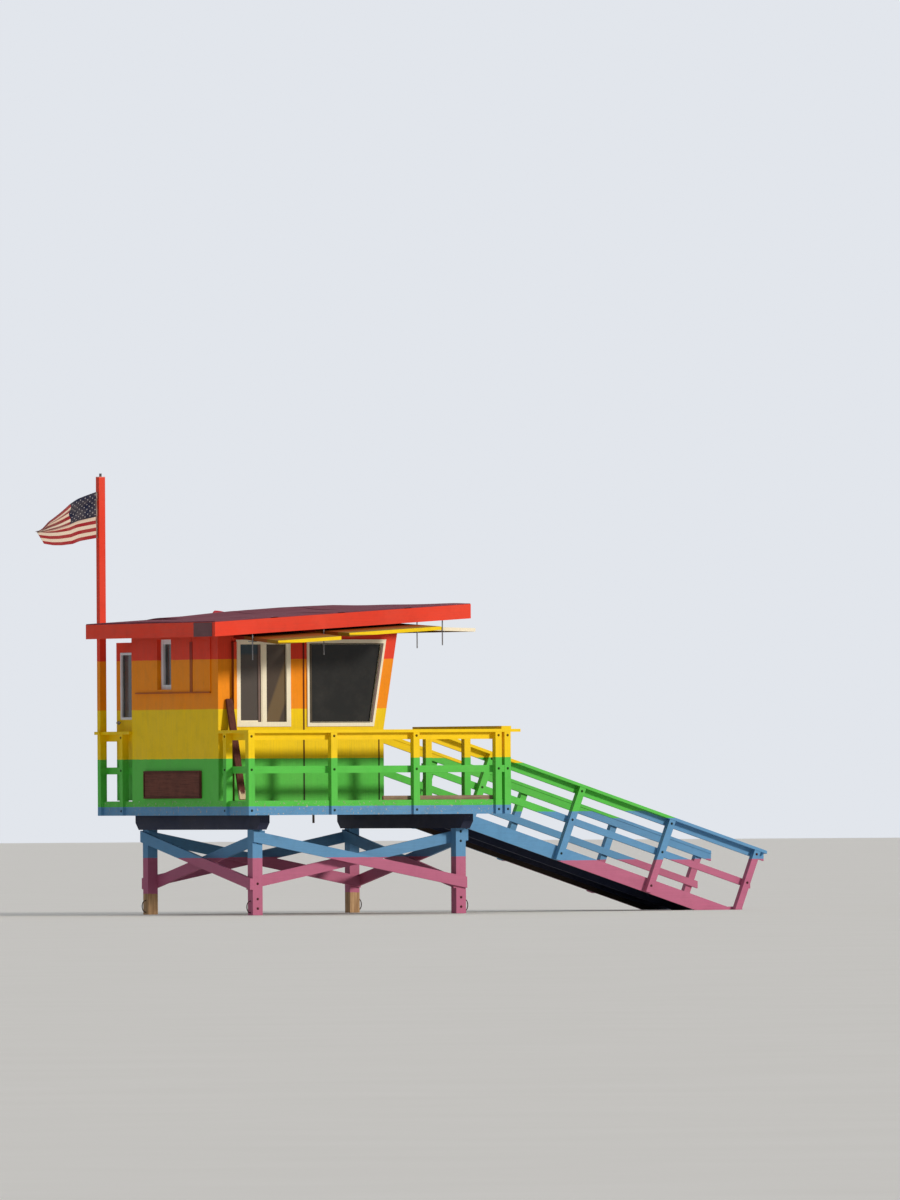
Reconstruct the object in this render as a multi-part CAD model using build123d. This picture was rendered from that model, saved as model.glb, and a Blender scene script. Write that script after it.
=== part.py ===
"""Beach lifeguard tower: a plywood lookout cabin on a timber deck with four braced legs, a railing all
round, awning shutters held open under a single-pitch roof, a flagpole at one corner and a long ramp.

Millimetres, +Z up. The sand is at z = 0. The rear of the tower faces -X, the ramp runs down towards +X,
right is -Y and left is +Y. Everything is laid out from the rear right corner of the deck, and the last
step moves the whole tower so that its origin is the middle of its footprint on the sand.
"""

import math
import os

from build123d import *

# Sawn timber
ply = 38.0
post_side = 89.0
leg_side = 140.0
rail_depth = 89.0
cap_width = 140.0
joist_depth = 146.0
beam_depth = 184.0
brace_width = 140.0
stringer_depth = 184.0

# Deck and legs
deck_width = 4270.0
deck_depth = 3760.0
deck_top = 1455.0
leg_inset_x = 420.0
leg_inset_y = 658.0
beam_overhang = 278.0
beam_end_cut = 90.0
brace_low = 410.0
brace_high = 990.0
joist_count = 9
board_width = 140.0
board_gap = 5.0

# Railing
rail_height = 897.0
mid_rail_height = 437.0
side_post_count = 4
side_post_inset = 175.0
front_post_near = 1145.0
rear_post_inset = 625.0
cap_end_right = 140.0
cap_tail_rear = 42.0
rail_tail_rear = 22.0
front_cap_tail = 190.0
cap_lip = 5.0

# Cabin
cabin_width = 2440.0
cabin_depth = 2370.0
wall_thickness = 90.0
panel_gap = 4.0
lean_start = 910.0
front_lean = 9.5
right_joint_rear = 240.0
right_joint_front = 1262.0

# Windows: places along a wall are counted from the rear or the right end of the deck
window_sill = 942.0
window_head = 2050.0
frame_width = 60.0
frame_depth = 70.0
frame_proud = 18.0
mullion_width = 70.0
glass_thickness = 6.0
sash_window_start = 293.0
sash_window_width = 778.0
big_window_start = 1310.0
big_window_front_gap = 62.0
front_window_margin = 130.0
front_window_gap = 150.0
slit_start = 2210.0
slit_width = 392.0
slit_sill = 1427.0
slit_height = 640.0
slit_setback = 45.0

# Rear hatch boards and the ledge below them
hatch_thickness = 12.0
hatch_right = 1110.0
hatch_joint = 1625.0
hatch_left = 3200.0
ledge_drop = 34.0
ledge_depth = 30.0

# Roof
roof_width = 3660.0
roof_depth = 3666.0
roof_rear = -310.0
roof_rear_top = 3725.0
roof_slope = 3.5
roof_skin = 36.0
fascia_depth = 184.0
rafter_depth = 140.0
rafter_inner_offset = 400.0

# Awning shutters
shutter_board = 12.0
shutter_batten = 33.0
shutter_batten_width = 64.0
side_shutter_reach = 1240.0
sash_shutter_droop = 4.2
big_shutter_droop = 2.6
side_shutter_top = 2100.0
front_shutter_reach = 1145.0
front_shutter_top = 2222.0
front_shutter_droop = 1.5
shutter_margin = 60.0
big_shutter_tail = 150.0
front_rod_inset = 30.0
rod_radius = 8.0
rod_drop = 340.0
rod_pin_radius = 6.0
rod_pin_length = 120.0
seat_gap = 0.3

# Door, standing open at a right angle to the left wall
door_width = 720.0
door_height = 2030.0
door_thickness = 40.0
door_side_gap = 5.0
door_latch_gap = 9.0
door_foot_gap = 10.0
door_head_gap = 12.0
door_jamb = 50.0
hinge_pin_offset = 6.0
hinge_radius = 5.5
hinge_height = 100.0
hinge_plate = 3.0
hinge_plate_width = 50.0
hinge_inset = 250.0
door_stile = 130.0
door_window_sill = 1040.0
door_window_height = 860.0
handle_height = 1000.0
handle_inset = 65.0
handle_rose_radius = 26.0
handle_rose_depth = 8.0
handle_reach = 48.0
handle_stem_radius = 9.0
handle_bend = 16.0
handle_lever_length = 115.0

# Flagpole and flag
pole_top = 5635.0
pole_knob_radius = 16.0
pole_knob_height = 42.0
flag_hoist = 600.0
flag_reach = 862.0
flag_top_drop = 185.0
flag_droop = 484.0
flag_fly_height = 185.0
flag_hoist_thickness = 6.0
flag_fly_thickness = 90.0

# Ramp
ramp_slope = 18.0
ramp_spread = 1560.0
ramp_near_post = 2215.0
ramp_toe_past = 105.0
ramp_toe_height = 40.0
ramp_deck_drop = 24.0
ramp_post_first = 530.0
ramp_post_spacing = 1315.0
ramp_post_count = 4
ramp_post_lean = 21.0
ramp_rail_past = 425.0
ramp_mid_rail_past = 225.0
ledger_depth = 64.0
ramp_spine_depth = 110.0

# A loose board that leans on the right wall
loose_board_length = 1330.0
loose_board_lean = 16.0
loose_board_start = 140.0

# Places that follow from the sizes above
rim_out = ply
rim_in = 2 * ply
rim_bottom = deck_top - ply - joist_depth
joist_top = deck_top - ply
leg_top = rim_bottom - beam_depth
leg_rear = leg_inset_x
leg_front = deck_depth - leg_inset_x
leg_right = leg_inset_y
leg_left = deck_width - leg_inset_y
rail_top = deck_top + rail_height
rail_in = post_side + ply
mid_rail_top = deck_top + mid_rail_height
cabin_rear = rim_out
cabin_front = cabin_rear + cabin_depth
cabin_right = (deck_width - cabin_width) / 2
cabin_left = cabin_right + cabin_width
lean_z = deck_top + lean_start
roof_front = roof_rear + roof_depth
roof_right = (deck_width - roof_width) / 2
roof_left = roof_right + roof_width
slope_tan = math.tan(math.radians(roof_slope))
lean_tan = math.tan(math.radians(front_lean))
ramp_tan = math.tan(math.radians(ramp_slope))
post_tan = math.tan(math.radians(ramp_post_lean))
ramp_start = deck_depth
last_ramp_post = ramp_start + ramp_post_first + ramp_post_spacing * (ramp_post_count - 1)
inner_right = cabin_right + wall_thickness
inner_left = cabin_left - wall_thickness
inner_rear = cabin_rear + wall_thickness
door_start = inner_rear + door_jamb
door_opening = door_side_gap + door_width + door_latch_gap
door_end = door_start + door_opening
door_head = deck_top + door_foot_gap + door_height + door_head_gap


def roof_top(x):
    """Height of the roof's upper face at a distance from the rear of the deck."""
    return roof_rear_top + (x - roof_rear) * slope_tan


def wall_top(x):
    """Height of the rafters' lower edge, where the walls end."""
    return roof_top(x) - roof_skin - rafter_depth


def front_face(z):
    """Where the outer face of the leaning front wall is at a height."""
    return cabin_front + max(0.0, z - lean_z) * lean_tan


def ramp_line(x, above=0.0):
    """Height of the ramp stringers' top edge, plus an offset straight up."""
    return deck_top + above - (x - ramp_start) * ramp_tan


def block(x0, x1, y0, y1, z0, z1):
    """A squared piece between three pairs of planes."""
    return Pos((x0 + x1) / 2, (y0 + y1) / 2, (z0 + z1) / 2) * Box(x1 - x0, y1 - y0, z1 - z0)


def side_piece(outline, y0, y1):
    """A piece with an outline of (x, z) points, as thick as the two y planes allow."""
    face = make_face(Polyline(*[(x, y0, z) for x, z in outline], close=True))
    return extrude(face, amount=y1 - y0, dir=(0, 1, 0))


def end_piece(outline, x0, x1):
    """A piece with an outline of (y, z) points, as thick as the two x planes allow."""
    face = make_face(Polyline(*[(x0, y, z) for y, z in outline], close=True))
    return extrude(face, amount=x1 - x0, dir=(1, 0, 0))


def sloped_board(x0, x1, top, depth, y0, y1):
    """A board on edge whose top edge follows a height function, with plumb ends."""
    outline = [(x0, top(x0) - depth), (x1, top(x1) - depth), (x1, top(x1)), (x0, top(x0))]
    return side_piece(outline, y0, y1)


def mirrored(solid):
    """The same piece on the other side of the tower's middle plane."""
    return Pos(0, deck_width, 0) * mirror(solid, about=Plane.XZ)


def legs():
    """Four squared legs under the beams."""
    half = leg_side / 2
    return [
        block(x - half, x + half, y - half, y + half, 0, leg_top)
        for x in (leg_rear, leg_front)
        for y in (leg_right, leg_left)
    ]


def beams():
    """Two cross beams on the legs, with raked lower corners at their ends."""
    half = leg_side / 2
    y0, y1 = leg_right - beam_overhang, leg_left + beam_overhang
    outline = [
        (y0 + beam_end_cut, leg_top),
        (y1 - beam_end_cut, leg_top),
        (y1, leg_top + beam_end_cut),
        (y1, rim_bottom),
        (y0, rim_bottom),
        (y0, leg_top + beam_end_cut),
    ]
    return [end_piece(outline, x - half, x + half) for x in (leg_rear, leg_front)]


def brace_outline(u0, u1, z0, z1):
    """A brace between two legs with plumb ends at the legs' far edges."""
    angle = math.atan2(z1 - z0, u1 - u0)
    half = brace_width / 2 / math.cos(angle)
    reach = leg_side / 2
    run = math.tan(angle) * reach
    a, b = z0 - run, z1 + run
    return [(u0 - reach, a - half), (u1 + reach, b - half), (u1 + reach, b + half), (u0 - reach, a + half)]


def end_braces():
    """Crossed braces of the rear and the front: one outside the legs, one inside."""
    half = leg_side / 2
    falling = brace_outline(leg_right, leg_left, brace_low, brace_high)
    rising = brace_outline(leg_right, leg_left, brace_high, brace_low)
    return [
        end_piece(falling, leg_rear - half - ply, leg_rear - half),
        end_piece(rising, leg_rear + half, leg_rear + half + ply),
        end_piece(rising, leg_front + half, leg_front + half + ply),
        end_piece(falling, leg_front - half - ply, leg_front - half),
    ]


def side_braces():
    """Crossed braces of the right and the left side."""
    half = leg_side / 2
    falling = brace_outline(leg_rear, leg_front, brace_high, brace_low)
    rising = brace_outline(leg_rear, leg_front, brace_low, brace_high)
    return [
        side_piece(falling, leg_right - half - ply, leg_right - half),
        side_piece(rising, leg_right + half, leg_right + half + ply),
        side_piece(rising, leg_left + half, leg_left + half + ply),
        side_piece(falling, leg_left - half - ply, leg_left - half),
    ]


def rim_ends():
    """Rim boards across the rear and the front."""
    return [
        block(rim_out, rim_in, rim_out, deck_width - rim_out, rim_bottom, deck_top),
        block(deck_depth - rim_in, deck_depth - rim_out, rim_out, deck_width - rim_out, rim_bottom, deck_top),
    ]


def rim_sides():
    """Rim boards along the right and the left."""
    x0, x1 = rim_in, deck_depth - rim_in
    right = block(x0, x1, rim_out, rim_in, rim_bottom, deck_top)
    return [right, mirrored(right)]


def joists():
    """Joists from the rear rim to the front rim, evenly spaced."""
    y0, y1 = rim_in, deck_width - rim_in
    pitch = (y1 - y0) / (joist_count + 1)
    places = [y0 + pitch * (i + 1) for i in range(joist_count)]
    return [
        block(rim_in, deck_depth - rim_in, y - ply / 2, y + ply / 2, rim_bottom, joist_top) for y in places
    ]


def deck_floor():
    """Deck boards across the joists, from rim to rim, which are also the cabin's floor."""
    length = deck_depth - 2 * rim_in
    count = round((length + board_gap) / (board_width + board_gap))
    pitch = (length + board_gap) / count
    starts = [rim_in + pitch * i for i in range(count)]
    return [
        block(x, x + pitch - board_gap, rim_in, deck_width - rim_in, joist_top, deck_top) for x in starts
    ]


def side_post(x, top):
    """A right side post: squared above the deck, and notched over the rim below it."""
    above = block(x - post_side / 2, x + post_side / 2, 0, post_side, deck_top, top)
    lap = block(x - post_side / 2, x + post_side / 2, 0, rim_out, rim_bottom, deck_top)
    return above + lap


def rear_post(y):
    """A rear post, notched over the rear rim."""
    above = block(0, post_side, y - post_side / 2, y + post_side / 2, deck_top, rail_top - ply)
    lap = block(0, rim_out, y - post_side / 2, y + post_side / 2, rim_bottom, deck_top)
    return above + lap


def front_post(y):
    """A front post, notched over the front rim; the front cap lies one board higher than the others."""
    x1 = deck_depth
    above = block(x1 - post_side, x1, y - post_side / 2, y + post_side / 2, deck_top, rail_top)
    lap = block(x1 - rim_out, x1, y - post_side / 2, y + post_side / 2, rim_bottom, deck_top)
    return above + lap


def corner_post(x, right_side=True):
    """A corner post, notched over both rims."""
    rear = x < deck_depth / 2
    top = rail_top - ply
    x0, x1 = (0, post_side) if rear else (deck_depth - post_side, deck_depth)
    above = block(x0, x1, 0, post_side, deck_top, top)
    lap_side = block(x0, x1, 0, rim_out, rim_bottom, deck_top)
    e0, e1 = (0, rim_out) if rear else (deck_depth - rim_out, deck_depth)
    lap_end = block(e0, e1, 0, post_side, rim_bottom, deck_top)
    post = above + lap_side + lap_end
    return post if right_side else mirrored(post)


def side_post_places():
    """Centres of the right side posts after the corner one."""
    first = post_side / 2
    pitch = (deck_depth - side_post_inset - first) / (side_post_count - 1)
    return [first + pitch * i for i in range(1, side_post_count)]


def deck_posts():
    """All railing posts but the one that rises into the flagpole."""
    top = rail_top - ply
    sides = [side_post(x, top) for x in side_post_places()]
    rear = rear_post(rear_post_inset + post_side / 2)
    ramp_far = ramp_near_post + ramp_spread
    return (
        [corner_post(0), corner_post(deck_depth), corner_post(deck_depth, right_side=False)]
        + sides
        + [mirrored(post) for post in sides]
        + [rear, mirrored(rear)]
        + [front_post(front_post_near), front_post(ramp_near_post), front_post(ramp_far)]
    )


def rail_pair(make, under):
    """A top rail under the cap and a rail at mid height, from one maker of (low, high) boards."""
    return [make(under - rail_depth, under), make(mid_rail_top - rail_depth, mid_rail_top)]


def rails_sides():
    """Rails on the inner faces of the side posts."""
    x1 = deck_depth - rail_in
    under = rail_top - ply
    right = rail_pair(lambda z0, z1: block(0, x1, post_side, rail_in, z0, z1), under)
    long = rail_pair(lambda z0, z1: block(-rail_tail_rear, x1, post_side, rail_in, z0, z1), under)
    return right + [mirrored(rail) for rail in long]


def rails_ends():
    """Rails on the inner faces of the front posts and of the rear posts beside the cabin."""
    x0, x1 = deck_depth - rail_in, deck_depth - post_side
    y_end = ramp_near_post + post_side / 2 + ply
    far_start = ramp_near_post + ramp_spread - post_side / 2 - ply
    under = rail_top
    start = max(rail_in, cap_width - cap_lip)
    long = rail_pair(lambda z0, z1: block(x0, x1, start, y_end, z0, z1), under)
    short = rail_pair(lambda z0, z1: block(x0, x1, far_start, deck_width - start, z0, z1), under)
    rear = rail_pair(
        lambda z0, z1: block(post_side, rail_in, rail_in, cabin_right, z0, z1), rail_top - ply
    )
    return long + short + rear + [mirrored(rail) for rail in rear]


def caps_sides():
    """Flat cap boards along both sides. They run on past the front, and the left one round the pole."""
    x1 = deck_depth + cap_end_right
    z0, z1 = rail_top - ply, rail_top
    right = block(-cap_lip, x1, -cap_lip, cap_width - cap_lip, z0, z1)
    left = mirrored(block(-cap_tail_rear, x1, -cap_lip, cap_width - cap_lip, z0, z1))
    notch = block(0, post_side, deck_width - post_side, deck_width + 2 * cap_lip, z0, z1)
    return [right, left - notch]


def caps_ends():
    """The front cap, on top of the side caps, in two lengths, and the short rear caps."""
    x1 = deck_depth + cap_lip
    x0 = x1 - cap_width
    y_end = ramp_near_post + post_side / 2 + front_cap_tail
    far_start = ramp_near_post + ramp_spread - post_side / 2 - cap_lip
    z0, z1 = rail_top, rail_top + ply
    long = block(x0, x1, -cap_lip, y_end, z0, z1)
    short = block(x0, x1, far_start, deck_width + cap_lip, z0, z1)
    rear = block(-cap_lip, cap_width - cap_lip, cap_width - cap_lip, cabin_right, rail_top - ply, rail_top)
    return [long, short, rear, mirrored(rear)]


def window_plane(origin, along, up):
    """A plane in a wall: x along the wall, y up the wall, z out of the room."""
    normal = Vector(*along).cross(Vector(*up))
    return Plane(origin=origin, x_dir=along, z_dir=normal)


def window_outline(plane, points, inset=0.0):
    """The window's outline as a face on its wall, drawn in by an inset."""
    face = make_face(Polyline(*points, close=True))
    if inset:
        face = offset(face, amount=-inset, kind=Kind.INTERSECTION)
    return plane * face


def window_parts(plane, points, mullion=None, setback=0.0):
    """The frame, the glass and the hole of one window. The frame stands a little proud of the wall."""
    out = plane.offset(frame_proud - setback)
    outer = extrude(window_outline(out, points), amount=-frame_depth)
    inner = extrude(window_outline(out, points, frame_width), amount=-frame_depth)
    frame = outer - inner
    if mullion is not None:
        tall = max(y for _, y in points) - min(y for _, y in points) - 2 * frame_width
        low = min(y for _, y in points) + frame_width
        bar = Pos(mullion, low + tall / 2, -frame_depth / 2) * Box(mullion_width, tall, frame_depth)
        frame = frame + out * bar
    middle = plane.offset(frame_proud - setback - frame_depth / 2 + glass_thickness / 2)
    pane = extrude(window_outline(middle, points, frame_width), amount=-glass_thickness)
    glass = pane - frame if mullion is not None else pane
    hole = extrude(window_outline(plane.offset(wall_thickness), points), amount=-3 * wall_thickness)
    return frame, list(glass.solids()), hole


def rectangle(x0, x1, y0, y1):
    """Corner points of a rectangle, in order."""
    return [(x0, y0), (x1, y0), (x1, y1), (x0, y1)]


def right_plane():
    """The right wall's outer face, x from the rear of the deck, y from the deck up."""
    return window_plane((0, cabin_right, deck_top), (1, 0, 0), (0, 0, 1))


def front_plane():
    """The leaning front wall's outer face, x along Y, y up the slope from where the lean starts."""
    rad = math.radians(front_lean)
    up = (math.sin(rad), 0, math.cos(rad))
    return window_plane((cabin_front, 0, lean_z), (0, 1, 0), up)


def rear_plane():
    """The rear wall's outer face, x along -Y from the left, y from the deck up."""
    return window_plane((cabin_rear, deck_width, deck_top), (0, -1, 0), (0, 0, 1))


def big_window_points():
    """The big side window: square at the rear, and raked at the front like the wall beside it."""
    low = front_face(deck_top + window_sill) - wall_thickness - big_window_front_gap
    high = front_face(deck_top + window_head) - wall_thickness - big_window_front_gap
    return [
        (big_window_start, window_sill),
        (low, window_sill),
        (high, window_head),
        (big_window_start, window_head),
    ]


def sash_window():
    """The two-light window in the middle of the right wall."""
    x1 = sash_window_start + sash_window_width
    points = rectangle(sash_window_start, x1, window_sill, window_head)
    return window_parts(right_plane(), points, mullion=(sash_window_start + x1) / 2)


def big_window():
    """The big raked window of the right wall."""
    return window_parts(right_plane(), big_window_points())


def front_windows():
    """Two equal windows in the leaning front wall."""
    y0 = inner_right + front_window_margin
    y1 = inner_left - front_window_margin
    width = (y1 - y0 - front_window_gap) / 2
    rise = math.cos(math.radians(front_lean))
    low = (window_sill - lean_start) / rise
    high = (window_head - lean_start) / rise
    starts = (y0, y1 - width)
    return [window_parts(front_plane(), rectangle(y, y + width, low, high)) for y in starts]


def slit_window():
    """The narrow rear window, set back in the wall."""
    x0 = deck_width - slit_start - slit_width
    points = rectangle(x0, x0 + slit_width, slit_sill, slit_sill + slit_height)
    return window_parts(rear_plane(), points, setback=slit_setback + frame_proud)


def side_wall(x0, x1, z0=deck_top):
    """A length of right wall between two planes, from a height up to the rafters."""
    outline = [(x0, z0), (x1, z0), (x1, wall_top(x1)), (x0, wall_top(x0))]
    return side_piece(outline, cabin_right, inner_right)


def front_side_wall(x0):
    """The front length of the right wall, with the raked front edge."""
    top = wall_top(cabin_front)
    for _ in range(3):
        top = wall_top(front_face(top))
    outline = [
        (x0, deck_top),
        (cabin_front, deck_top),
        (cabin_front, lean_z),
        (front_face(top), top),
        (x0, wall_top(x0)),
    ]
    return side_piece(outline, cabin_right, inner_right)


def rear_wall():
    """The rear wall from corner to corner, with the slit window cut through it."""
    outline = [
        (cabin_rear, deck_top),
        (inner_rear, deck_top),
        (inner_rear, wall_top(inner_rear)),
        (cabin_rear, wall_top(cabin_rear)),
    ]
    return [side_piece(outline, cabin_right, cabin_left) - slit_window()[2]]


def right_wall_rear():
    """The right wall's plain rear panel."""
    return [side_wall(inner_rear, right_joint_rear - panel_gap)]


def right_wall_middle():
    """The right wall's middle panel, cut for the two-light window."""
    return [side_wall(right_joint_rear, right_joint_front - panel_gap) - sash_window()[2]]


def right_wall_front():
    """The right wall's front panel, cut for the big window."""
    return [front_side_wall(right_joint_front) - big_window()[2]]


def left_wall_jamb():
    """The left wall's short length behind the doorway."""
    return [mirrored(side_wall(inner_rear, door_start))]


def left_wall_lintel():
    """The left wall over the doorway."""
    return [mirrored(side_wall(door_start, door_end, door_head))]


def left_wall_front():
    """The left wall from the doorway to the front, with its own big window."""
    return [mirrored(front_side_wall(door_end) - big_window()[2])]


def front_wall_lower():
    """The plumb lower part of the front wall, between the side walls."""
    return [
        block(cabin_front - wall_thickness, cabin_front, inner_right, inner_left, deck_top, lean_z)
    ]


def front_wall_upper():
    """The leaning upper part of the front wall, cut for two windows."""
    top_out = wall_top(cabin_front)
    top_in = wall_top(cabin_front - wall_thickness)
    for _ in range(3):
        top_out = wall_top(front_face(top_out))
        top_in = wall_top(front_face(top_in) - wall_thickness)
    outline = [
        (cabin_front - wall_thickness, lean_z),
        (cabin_front, lean_z),
        (front_face(top_out), top_out),
        (front_face(top_in) - wall_thickness, top_in),
    ]
    wall = side_piece(outline, inner_right, inner_left)
    for _, _, hole in front_windows():
        wall = wall - hole
    return [wall]


def window_frames_right():
    """Frames of the two right windows."""
    return [sash_window()[0], big_window()[0]]


def window_frames_front():
    """Frames of the front windows."""
    return [frame for frame, _, _ in front_windows()]


def window_frame_left():
    """Frame of the left window."""
    return [mirrored(big_window()[0])]


def window_frame_rear():
    """Frame of the slit window."""
    return [slit_window()[0]]


def glass_right():
    """Panes of the right wall."""
    return sash_window()[1] + big_window()[1]


def glass_front():
    """Panes of the front wall."""
    return [pane for _, panes, _ in front_windows() for pane in panes]


def glass_left():
    """Pane of the left wall."""
    return [mirrored(pane) for pane in big_window()[1]]


def glass_rear():
    """Pane of the slit window."""
    return slit_window()[1]


def rear_hatches():
    """Thin closed hatch boards on the rear wall, one on each side of a joint, round the slit window."""
    z0 = deck_top + slit_sill - ledge_drop
    x0, x1 = cabin_rear - hatch_thickness, cabin_rear
    z1 = wall_top(x0)
    left = block(x0, x1, hatch_joint + panel_gap, hatch_left, z0, z1)
    right = block(x0, x1, hatch_right, hatch_joint - panel_gap, z0, z1)
    return [left - slit_window()[2], right]


def rear_ledge():
    """The ledge board under the hatches."""
    z1 = deck_top + slit_sill - ledge_drop
    return [block(cabin_rear - ledge_depth, cabin_rear, hatch_right, hatch_left, z1 - ply / 2, z1)]


def roof_panel():
    """The roof skin, inside the fascia boards."""
    x0, x1 = roof_rear + ply, roof_front - ply
    return [sloped_board(x0, x1, roof_top, roof_skin, roof_right + ply, roof_left - ply)]


def fascia_ends():
    """Fascia boards across the rear and the front eaves."""
    boards = []
    for x0, x1 in ((roof_rear, roof_rear + ply), (roof_front - ply, roof_front)):
        boards.append(sloped_board(x0, x1, roof_top, fascia_depth, roof_right, roof_left))
    return boards


def fascia_sides():
    """Fascia boards up the right and the left edge."""
    x0, x1 = roof_rear + ply, roof_front - ply
    right = sloped_board(x0, x1, roof_top, fascia_depth, roof_right, roof_right + ply)
    return [right, mirrored(right)]


def rafter_places():
    """Near sides of the rafters: beside the fascia, over the wall, and between the walls."""
    over_wall = cabin_right + (wall_thickness - ply) / 2
    inner = deck_width / 2 - rafter_inner_offset - ply / 2
    return [roof_right + ply, over_wall, inner]


def rafters():
    """Rafters from the rear fascia to the front fascia."""
    x0, x1 = roof_rear + ply, roof_front - ply
    under = [
        sloped_board(x0, x1, lambda x: roof_top(x) - roof_skin, rafter_depth, y, y + ply)
        for y in rafter_places()
    ]
    return under + [mirrored(rafter) for rafter in under]


def shutter_panel(length, reach):
    """A shutter laid flat: a thin board on top of four battens. x is its length, -y is outwards."""
    board = block(0, length, -reach, 0, -shutter_board, 0)
    w = shutter_batten_width
    z0, z1 = -shutter_board - shutter_batten, -shutter_board
    ring = block(0, length, -reach, 0, z0, z1) - block(w, length - w, w - reach, -w, z0, z1)
    middle = block(length / 2 - w / 2, length / 2 + w / 2, w - reach, -w, z0, z1)
    return board + ring + middle


def side_shutter(x0, x1, droop):
    """A right wall shutter, parallel to the roof and drooping a little outwards from the wall."""
    z = deck_top + side_shutter_top + x0 * slope_tan
    flat = shutter_panel((x1 - x0) / math.cos(math.radians(roof_slope)), side_shutter_reach)
    off = (shutter_board + shutter_batten) * math.sin(math.radians(droop))
    return Pos(x0, cabin_right - off, z) * Rot(0, -roof_slope, 0) * Rot(droop, 0, 0) * flat


def big_shutter_span():
    """Where the big window's shutter starts and ends."""
    return big_window_start - shutter_margin / 2, big_window_points()[2][0] + big_shutter_tail


def sash_shutter_span():
    """Where the two-light window's shutter starts and ends."""
    x0 = sash_window_start - shutter_margin / 2
    return x0, x0 + sash_window_width + 2 * shutter_margin


def shutters_right():
    """The two open shutters of the right wall."""
    sash = side_shutter(*sash_shutter_span(), sash_shutter_droop)
    return [sash, side_shutter(*big_shutter_span(), big_shutter_droop)]


def shutter_left():
    """The open shutter of the left window."""
    return [mirrored(side_shutter(*big_shutter_span(), big_shutter_droop))]


def front_rod_place():
    """Where the right one of the front shutter's stay rods hangs, under the rafter over the wall."""
    return roof_front - ply - front_rod_inset, cabin_right + wall_thickness / 2


def shutter_front():
    """The wide shutter of the front windows, between its two stay rods."""
    z = deck_top + front_shutter_top
    start = front_rod_place()[1] + rod_radius + seat_gap + 1.0
    flat = shutter_panel(deck_width - 2 * start, front_shutter_reach)
    turned = Rot(0, front_shutter_droop, 0) * Rot(0, 0, 90) * flat
    return [Pos(front_face(z), start, z) * turned]


def stay_rod(x, y, under, along_x=True):
    """A stay rod under a rafter, with a cross pin whose top is just under the shutter's height there."""
    top = wall_top(x - rod_radius)
    rod = Pos(x, y, top - rod_drop / 2) * Cylinder(rod_radius, rod_drop)
    turn = Rot(0, 90, 0) if along_x else Rot(90, 0, 0)
    pin = turn * Cylinder(rod_pin_radius, rod_pin_length)
    return rod + Pos(x, y, under - seat_gap - rod_pin_radius) * pin


def side_shutter_underside(x, y, droop):
    """Height of the lower face of a side shutter at a place."""
    rad = math.radians(droop)
    thick = (shutter_board + shutter_batten) / math.cos(rad)
    return deck_top + side_shutter_top + x * slope_tan - (cabin_right - y) * math.tan(rad) - thick


def front_shutter_underside(x):
    """Height of the lower face of the front shutter at a distance from the rear of the deck."""
    z = deck_top + front_shutter_top
    rad = math.radians(front_shutter_droop)
    thick = (shutter_board + shutter_batten) / math.cos(rad)
    return z - (x - front_face(z)) * math.tan(rad) - thick


def shutter_rods():
    """Stay rods beside the ends of the side shutters, and beside both ends of the front one."""
    y = roof_right + ply + ply / 2
    off = rod_radius + seat_gap + 1.0
    low_y = y - rod_pin_radius
    sash = sash_shutter_span()[0]
    start, finish = big_shutter_span()
    drop = (cabin_right - y) * math.tan(math.radians(big_shutter_droop))
    end = finish + (shutter_board + shutter_batten + drop) * slope_tan + off
    last = end - rod_pin_length / 2 - rod_pin_radius
    rods = [
        stay_rod(sash - off, y, side_shutter_underside(sash, low_y, sash_shutter_droop)),
        stay_rod(start - off, y, side_shutter_underside(start, low_y, big_shutter_droop)),
        stay_rod(end, y, side_shutter_underside(last, low_y, big_shutter_droop)),
    ]
    x, y = front_rod_place()
    front = stay_rod(x, y, front_shutter_underside(x + rod_pin_radius), along_x=False)
    return rods + [front] + [mirrored(rod) for rod in rods[1:] + [front]]


def door_pin():
    """Where the door's hinge pin stands, at the outer face beside the rear jamb."""
    return door_start + door_side_gap / 2, cabin_left + hinge_pin_offset


def door_blank():
    """The open leaf without its window: it runs outwards from the hinge along +Y."""
    px, py = door_pin()
    x0 = px + hinge_pin_offset
    y0 = py + door_side_gap / 2
    z0 = deck_top + door_foot_gap
    return x0, x0 + door_thickness, y0, y0 + door_width, z0, z0 + door_height


def door_window_parts():
    """The frame, glass and hole of the door's window."""
    x0, x1, y0, y1, z0, _ = door_blank()
    w0, w1 = y0 + door_stile, y1 - door_stile
    s0 = z0 + door_window_sill
    s1 = s0 + door_window_height
    bead = frame_width / 2
    hole = block(x0 - frame_depth, x1 + frame_depth, w0, w1, s0, s1)
    lip = frame_proud / 2
    frame = block(x0 - lip, x1 + lip, w0, w1, s0, s1)
    frame = frame - block(x0 - frame_depth, x1 + frame_depth, w0 + bead, w1 - bead, s0 + bead, s1 - bead)
    mid = (x0 + x1) / 2
    glass = block(
        mid - glass_thickness / 2, mid + glass_thickness / 2, w0 + bead, w1 - bead, s0 + bead, s1 - bead
    )
    return frame, glass, hole


def door_leaf():
    """The door leaf, cut for its window."""
    return [block(*door_blank()) - door_window_parts()[2]]


def door_window_frame():
    """The frame round the door's glass."""
    return [door_window_parts()[0]]


def door_glass():
    """The door's pane."""
    return [door_window_parts()[1]]


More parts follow.
